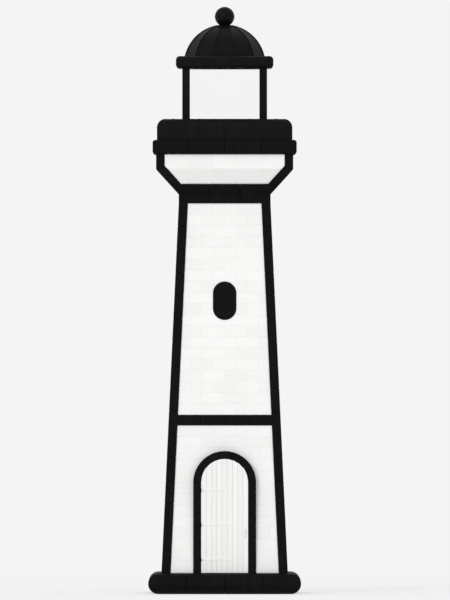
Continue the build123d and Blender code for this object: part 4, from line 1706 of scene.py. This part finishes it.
@dataclass(frozen=True)
class GalleryEdge:
    """The black ring of long stones that carries the parapet, with rounded outer edges."""

    radius: float = 0.08
    edge_points: int = 7
    stone: float = 0.98
    joint: Joint = Joint(0.022, 0.008, 0.010)

    def build(self, yard: Yard) -> None:
        """Carries the ring's section round the square: a rectangle whose outer edges are quarter circles.

        Args:
            yard: places and dresses the pieces.
        """
        node, inner = NodeShape("gallery_edge"), NodeShape("gallery_deck").high[0]
        half, low, high = node.high[0], node.low[2], node.high[2]
        nose = rounded_edge(half, low, high, self.radius, self.edge_points)
        section = np.concatenate([nose, [(inner, high), (inner, low)]])
        shell = stone_ring(section, half, self.joint, self.stone)
        yard.place("gallery_edge_stones", shell, Finish.BLACK_STONE, stands_for=["gallery_edge"])


@dataclass(frozen=True)
class DeckFlags:
    """The flags of the gallery deck: one ring between lantern and parapet, and one round the hatch inside."""

    pitch: float = 0.55
    gap: float = 0.008
    arris: float = 0.005
    out: float = 0.008
    let_in: float = 0.004

    def build(self, yard: Yard) -> None:
        """Lays both rings of flags.

        Args:
            yard: places and dresses the pieces.
        """
        deck, posts, walls = map(NodeShape, ("gallery_deck", "lantern_posts", "lantern_sill_walls"))
        curb, room = deck.halves(deck.high[2])[-1], walls.halves(walls.low[2])[-2]
        rings = {"gallery_flags": (deck.high[0], posts.high[0]), "lantern_flags": (room, curb)}
        for name, (outer, inner) in rings.items():
            yard.place(name, self._ring(yard, outer, inner, posts.low[2]), Finish.BARE_STONE)
        yard.dress(Finish.BARE_STONE, "gallery_deck")

    def _ring(self, yard: Yard, outer: float, inner: float, top: float) -> Shell:
        """One row of flags on each side of a square, with a square flag at each corner.

        The flags are rectangles between even lines, drawn in by half a gap and raised from the deck.

        Args:
            yard: gives the flags' tones.
            outer: half the ring's width.
            inner: half the width of what it goes round.
            top: the deck's level.

        Returns:
            The flags.
        """
        inner += self.gap
        lines = row(inner, self.pitch)
        low = np.stack([np.append(-outer, lines[:-1]), np.full_like(lines, -outer)], axis=-1)
        high = np.stack([np.append(-inner, lines[1:]), np.full_like(lines, -inner)], axis=-1)
        shapes = inset(rectangles(low, high), self.gap / 2)
        rings = raised(Face.level(top), shapes, self.arris, self.out, self.let_in)
        shell = Shell()
        for side in Side:
            shell.add(turned(rings, side.value), tone=yard.tones(len(shapes)))
        return shell


@dataclass(frozen=True)
class Parapet:
    """The parapet's rolled plates, their lap straps and rivets, and the bead round their mouth."""

    roll: float = 0.23
    roll_points: int = 9
    lap: LapStrap = LapStrap(0.07, 0.007, Head(0.013, 0.008), rivets_up=(2, 6, 10, 14, 18, 22), steps=30)
    laps: int = 5
    lap_reach: float = 0.76
    foot_pitch: float = 0.105
    foot_level: float = 0.035
    foot_edge: float = 0.06
    bead_radius: float = 0.024
    bead_drop: float = 0.004
    bead_points: int = 12

    def build(self, yard: Yard) -> None:
        """Makes the straps, the rivets and the bead.

        The plates' outside is a plumb line that turns inwards by a quarter circle. The bead is a circle
        carried round the square.

        Args:
            yard: places and dresses the pieces.
        """
        node = NodeShape("parapet_front")
        half, low, high = node.high[0], node.low[2], node.high[2]
        line = arc((half - self.roll, high - self.roll), self.roll, 0, 90, self.roll_points)
        middles = np.linspace(-half, half, self.laps) * self.lap_reach
        straps, heads = self.lap.made(np.concatenate([[(half, low)], line]), middles)
        x = row(half - self.foot_edge, self.foot_pitch)
        foot = self.lap.rivet.at(x, -half, low + self.foot_level, TO_FRONT)
        yard.place("parapet_straps", Shell().around(straps), Finish.BLACK_IRON)
        yard.place("parapet_rivets", Shell().around(heads).around(foot), Finish.BLACK_IRON)

        r, last = self.bead_radius, 360 - 360 / self.bead_points
        bead = arc((half - self.roll, high - r - self.bead_drop), r, 0, last, self.bead_points)
        rings = square_ring(bead, np.zeros(1), np.zeros(1))
        yard.place("parapet_bead", Shell().add(rings, loop=True), Finish.BLACK_IRON)
        yard.dress(Finish.BLACK_IRON, *[f"parapet_{side.word}" for side in Side])


# ---- Lantern ----
@dataclass(frozen=True)
class Lantern:
    """The lantern's posts, sill walls, panes and cornice, with their beads, rivets, bolts and lap straps."""

    bead_width: float = 0.014
    bead_depth: float = 0.012
    bead_let_in: float = 0.004
    cornice_radius: float = 0.095
    cornice_points: int = 7
    lap: LapStrap = LapStrap(0.08, 0.006, Head(0.011, 0.007), rivets_up=(12, 14, 17, 19), steps=32)
    lap_places: tuple[float, float] = (-0.66, 0.66)  # as shares of half the cornice
    lap_reach: float = 0.16
    rivet_pitch: float = 0.12
    rivet_edge: float = 0.065
    rivet_low: float = 0.05
    rivet_high: float = 0.075
    foot_bolt: Head = Head(0.016, 0.012, sides=6)
    foot_bolt_edge: float = 0.018

    def build(self, yard: Yard) -> None:
        """Makes the beads, rivets, bolts and straps of one side or one corner, and turns them to the others.

        Args:
            yard: places and dresses the pieces.
        """
        panes, posts, walls = (NodeShape(f"lantern_{word}") for word in ("glass", "posts", "sill_walls"))
        cornice = NodeShape("lantern_cornice")
        sill, head = walls.high[2], cornice.low[2]
        post = posts.halves(head)[0]
        near, far = panes.halves(panes.low[2])[-2:]
        beads = Shell()
        for y in (-far - self.bead_depth / 2, -near + self.bead_depth / 2):
            beads.around(self._bead_loop(post, sill, head, y), loop=True)
        yard.place("glazing_beads", beads, Finish.BLACK_IRON)
        yard.place("lantern_rivets", self._fixings(posts, walls, post), Finish.BLACK_IRON)
        self._cornice_laps(yard, cornice)
        yard.dress(Finish.BLACK_IRON, "lantern_posts", "lantern_sill_walls", "lantern_cornice")
        yard.dress(Finish.LANTERN_GLASS, "lantern_glass")

    def _fixings(self, posts: NodeShape, walls: NodeShape, post: float) -> Shell:
        """Two rows of rivets along each sill wall, and four bolts through the foot of each post.

        Args:
            posts: the posts' shape.
            walls: the sill walls' shape.
            post: how far from the middle a post starts.

        Returns:
            The heads.
        """
        levels = np.array([walls.low[2] + self.rivet_low, walls.high[2] - self.rivet_high])
        x = row(post - self.rivet_edge, self.rivet_pitch)[:, None]
        rivets = self.lap.rivet.at(x, -walls.halves(walls.low[2])[-1], levels, TO_FRONT)
        edges = self.foot_bolt_edge - np.array([posts.high[0], post])
        bolts = self.foot_bolt.at(edges[:, None], edges, posts.levels[1], UP)
        return Shell().around(rivets).around(bolts)

    def _cornice_laps(self, yard: Yard, cornice: NodeShape) -> None:
        """Makes the straps over the cornice's plate joints, with their rivets.

        Args:
            yard: places the pieces.
            cornice: the cornice's shape.
        """
        half, low, high = cornice.high[0], cornice.low[2], cornice.high[2]
        nose = rounded_edge(half, low, high, self.cornice_radius, self.cornice_points)
        line = np.concatenate([[(half - self.lap_reach, low)], nose, [(half - self.lap_reach, high)]])
        straps, heads = self.lap.made(line, np.array(self.lap_places) * half)
        yard.place("cornice_straps", Shell().around(straps), Finish.BLACK_IRON)
        yard.place("cornice_rivets", Shell().around(heads), Finish.BLACK_IRON)

    def _bead_loop(self, half: float, low: float, high: float, y: float) -> Points:
        """A square bead round a pane's sight: its section carried round a rectangle, mitred at the corners.

        At each corner the section's point (u, v) lies u inwards from both edges, and v behind the middle.

        Args:
            half: half the sight's width.
            low: the sight's foot.
            high: its head.
            y: where the bead's middle lies.

        Returns:
            The rings, shape (1, 4, 4, 3).
        """
        depth = self.bead_depth / 2
        section = rectangles(np.array([(-self.bead_let_in, -depth)]), np.array([(self.bead_width, depth)]))[0]
        inward, behind = section.T
        right, up = np.array([(-1, -1), (1, -1), (1, 1), (-1, 1)]).T[..., None]
        z = np.where(up > 0, high, low) - up * inward
        return np.stack([right * (half - inward), np.broadcast_to(y + behind, z.shape), z], axis=-1)[None]


@dataclass(frozen=True)
class Dome:
    """The gored dome: its standing seams, the rivets beside them and the bolts of its foot."""

    radius: float = 1.1
    centre: float = 14.405
    gores: int = 12
    rivet: Head = Head(0.010, 0.008)
    rivets_up: int = 11
    first_rivet: float = 0.05
    last_rivet: float = 74.0
    seam_offset: float = 0.045
    seam_width: float = 0.03
    seam_height: float = 0.016
    seam_let_in: float = 0.012
    seam_arris: float = 0.005
    seam_points: int = 30
    crown_half: float = 0.19
    foot_bolts: int = 5
    foot_bolt: Head = Head(0.007, 0.006, sides=6)

    def build(self, yard: Yard) -> None:
        """Makes the seams, and sets the rivets up both edges of every gore and the bolts along its foot.

        A gore's face is a cylinder about a level line: at a rise t above the springing its distance from the
        axis is R cos t and its height R sin t. Its edge lies that distance times tan(pi / gores) aside.

        Args:
            yard: places and dresses the pieces.
        """
        rise = np.linspace(self._rise(self.first_rivet), math.radians(self.last_rivet), self.rivets_up)
        out, up = self.radius * np.cos(rise), self.centre + self.radius * np.sin(rise)
        aside = out * math.tan(math.pi / self.gores) - self.seam_offset
        normals = np.stack([np.zeros_like(rise), -np.cos(rise), np.sin(rise)], axis=-1)
        rivets = self.rivet.at(np.stack([-aside, aside]), -out, up, normals)
        bolts, seam = self._foot_bolts(), self._seam()
        heads, seams = Shell(), Shell()
        for turn in np.arange(self.gores) * 2 * math.pi / self.gores:
            heads.add(spun(rivets, turn)).add(spun(bolts, turn))
            seams.add(spun(seam, turn + math.pi / self.gores))
        yard.place("dome_rivets", heads, Finish.BLACK_IRON)
        yard.place("dome_seams", seams, Finish.BLACK_IRON)
        yard.dress(Finish.BLACK_IRON, "dome")

    def _rise(self, above: float) -> float:
        """The angle of the dome's face at a height above its cornice: asin((z - centre) / R)."""
        return math.asin((NodeShape("lantern_cornice").high[2] + above - self.centre) / self.radius)

    def _foot_bolts(self) -> Points:
        """The bolts through the foot flange of the front gore, in a row along the middle of the flange.

        Returns:
            The rings, shape (bolts, 3, 6, 3).
        """
        dome = NodeShape("dome")
        foot, flange = dome.levels[:2]
        middle = (math.sqrt(self.radius**2 - (foot - self.centre) ** 2) + dome.high[0]) / 2
        x = middle * math.tan(math.pi / self.gores) * np.linspace(-1, 1, self.foot_bolts + 2)[1:-1]
        return self.foot_bolt.at(x, -middle, flange, UP)

    def _seam(self) -> Points:
        """One seam: a chamfered section carried up a groin that stands over the front.

        At the rise t a groin lies R cos t / cos(pi / gores) from the axis and R sin t above the centre. The
        section's point (a, h) stands a beside it and h out along its normal.

        Returns:
            The rings, shape (1, rings, 6, 3).
        """
        spread = 1 / math.cos(math.pi / self.gores)
        end = math.acos(self.crown_half / self.radius / spread)
        rise = np.linspace(self._rise(self.seam_let_in), end, self.seam_points)[:, None]
        away, above = np.cos(rise) / spread, np.sin(rise)
        scale = np.hypot(away, above)
        wide, high, cut = self.seam_width / 2, self.seam_height, self.seam_arris
        foot = [(-wide, -self.seam_let_in), (wide, -self.seam_let_in)]
        head = [(wide, high - cut), (wide - cut, high), (cut - wide, high), (-wide, high - cut)]
        aside, lift = np.array(foot + head).T
        out = self.radius * np.cos(rise) * spread + away / scale * lift
        up = self.centre + self.radius * np.sin(rise) + above / scale * lift
        return np.stack([np.broadcast_to(aside, out.shape), -out, up], axis=-1)[None]


@dataclass(frozen=True)
class Finial:
    """The ball at the top: two spun halves under a riveted band, on a collar and below a small cap."""

    sides: int = 72
    half_points: int = 24
    collar: float = 0.158
    collar_edge: float = 0.006
    foot_half: float = 0.146
    cap: float = 0.042
    cap_edge: float = 0.001
    sunk: float = 0.006
    band_half: float = 0.022
    band_thickness: float = 0.003
    band_points: int = 7
    rivets: int = 40
    rivet: Head = Head(0.006, 0.004)

    def build(self, yard: Yard) -> None:
        """Turns the ball's outline about the axis, and sets a row of rivets round its band.

        From foot to tip the ball lies R cos t from the axis and R sin t above its centre, and R grows by the
        band's thickness beside the equator.

        Args:
            yard: places and dresses the pieces.
        """
        node, crown = NodeShape("finial"), NodeShape("dome").high[2]
        radius, top = node.high[0], node.high[2]
        centre, grown = top - radius, radius + self.band_thickness
        edge = math.degrees(math.asin(self.band_half / radius))
        foot, tip = (math.degrees(math.acos(half / radius)) for half in (self.foot_half, self.cap))
        below = arc((0.0, centre), radius, -foot, -edge, self.half_points)
        band = arc((0.0, centre), grown, -edge, edge, self.band_points)
        above = arc((0.0, centre), radius, edge, tip, self.half_points)
        base, lip = below[0, 1], self.collar_edge
        collar = [(self.collar, crown - self.sunk), (self.collar, base - lip), (self.collar - lip, base)]
        cap = [(self.cap, top - self.cap_edge), (self.cap - self.cap_edge, top)]
        outline = np.concatenate([collar, below, band, above, cap])
        ball = Shell().add(revolved(outline, self.sides).swapaxes(0, 1)[None])
        yard.place("finial_ball", ball, Finish.BLACK_IRON, stands_for=["finial"])

        out = revolved(np.array([(1.0, 0.0)]), self.rivets)[:, 0]
        x, y, z = (out * grown + (0.0, 0.0, centre)).T
        yard.place("finial_rivets", Shell().add(self.rivet.at(x, y, z, out)), Finish.BLACK_IRON)


# ---- Stage ----
@dataclass(frozen=True)
class Studio:
    """The pale floor, the soft light and the camera."""

    backdrop: float = 0.905
    floor_albedo: float = 0.95
    floor_radius: float = 90.0
    floor_points: int = 96
    near: float = 5.0
    far: float = 40.0
    near_glow: float = 0.55
    sky: float = 0.82
    sun: float = 0.80
    sun_turn: float = -30.0
    sun_rise: float = 22.0
    sun_size: float = 24.0
    lens: float = 1100.0
    sensor: float = 36.0
    view_height: float = 16.33  # what the view takes in at the reference plane
    eye_level: float = 8.0
    eye_aside: float = 0.0095
    reference_plane: float = -1.4  # its place along y
    clip_start: float = 1.0
    clip_share: float = 6.0  # the far clip, in camera distances

    def build(self) -> None:
        """Sets up floor, world, lamp and camera."""
        bpy.context.scene.view_settings.view_transform = "Standard"
        self._floor()
        self._world()
        self._lamp()
        self._camera()

    def _floor(self) -> None:
        """Makes the round floor, a mix of the lit floor, with the object's shadow, and the backdrop's tone.

        The backdrop's share rises evenly between two distances from the axis.
        """
        rim = revolved(np.array([(self.floor_radius, 0.0)]), self.floor_points)[:, 0]
        mesh = bpy.data.meshes.new("floor")
        mesh.from_pydata(rim.tolist(), [], [list(range(len(rim)))])
        material = bpy.data.materials.new("pale_floor")
        writer = NodeWriter.on(material)
        matte = writer.node("ShaderNodeBsdfDiffuse", {"Color": (self.floor_albedo,) * 3 + (1.0,)})
        glow = writer.node("ShaderNodeEmission", {"Color": (self.backdrop,) * 3 + (1.0,), "Strength": 1.0})
        place = writer.node("ShaderNodeTexCoord").outputs["Object"]
        away = writer.node("ShaderNodeVectorMath", {0: place}, operation="LENGTH").outputs["Value"]
        glowing = writer.remap(away, low=self.near, high=self.far, to_low=self.near_glow)
        share = writer.math("MULTIPLY", self._seen(writer), glowing)
        mix = writer.node("ShaderNodeMixShader", {0: share, 1: matte.outputs[0], 2: glow.outputs[0]})
        writer.node("ShaderNodeOutputMaterial", {"Surface": mix.outputs[0]})
        mesh.materials.append(material)
        floor = bpy.data.objects.new("floor", mesh)
        bpy.context.scene.collection.objects.link(floor)

    @staticmethod
    def _seen(writer: NodeWriter) -> Socket:
        """A mask that is 1 for rays from the camera, and for mirrored and refracted ones.

        Args:
            writer: writes into the material's or the world's own tree.

        Returns:
            The mask's socket.
        """
        path = writer.node("ShaderNodeLightPath")
        first = writer.math("MAXIMUM", path.outputs["Is Camera Ray"], path.outputs["Is Glossy Ray"])
        return writer.math("MAXIMUM", first, path.outputs["Is Transmission Ray"])

    def _world(self) -> None:
        """Lights the scene evenly, and shows the backdrop's tone where the world is seen."""
        world = bpy.data.worlds.new("pale_world")
        writer = NodeWriter.on(world)
        light, shown = (
            writer.node("ShaderNodeBackground", {"Color": (1.0,) * 4, "Strength": strength}).outputs[0]
            for strength in (self.sky, self.backdrop)
        )
        mix = writer.node("ShaderNodeMixShader", {0: self._seen(writer), 1: light, 2: shown})
        writer.node("ShaderNodeOutputWorld", {"Surface": mix.outputs[0]})
        bpy.context.scene.world = world

    def _lamp(self) -> None:
        """Adds one broad sun from the front, a little to the left and above."""
        data = bpy.data.lights.new("soft_sun", "SUN")
        data.energy = self.sun
        data.angle = math.radians(self.sun_size)
        lamp = bpy.data.objects.new("soft_sun", data)
        lamp.rotation_euler = (math.radians(90 - self.sun_rise), 0.0, math.radians(self.sun_turn))
        bpy.context.scene.collection.objects.link(lamp)

    def _camera(self) -> None:
        """Sets a far camera with a long lens, level with the tower's middle and square to its front."""
        data = bpy.data.cameras.new("camera")
        data.lens, data.sensor_width = self.lens, self.sensor
        distance = self.view_height * self.lens / self.sensor
        data.clip_start, data.clip_end = self.clip_start, self.clip_share * distance
        camera = bpy.data.objects.new("camera", data)
        camera.location = (self.eye_aside, self.reference_plane - distance, self.eye_level)
        camera.rotation_euler = (math.pi / 2, 0.0, 0.0)
        bpy.context.scene.collection.objects.link(camera)
        bpy.context.scene.camera = camera


def main() -> None:
    """Builds the sub-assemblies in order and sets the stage."""
    logging.basicConfig(level=logging.INFO, format="%(name)s: %(message)s")
    yard = Yard()
    assemblies = (
        Plinth(),
        Walls(),
        Pilasters(),
        BeltCourse(),
        DoorSurround(),
        DoorLeaf(),
        Straps(),
        Pintles(),
        Windows(),
        NeckBand(),
        Corbel(),
        GalleryEdge(),
        DeckFlags(),
        Parapet(),
        Lantern(),
        Dome(),
        Finial(),
    )
    for assembly in assemblies:
        assembly.build(yard)
    Studio().build()


if __name__ == "__main__":
    main()
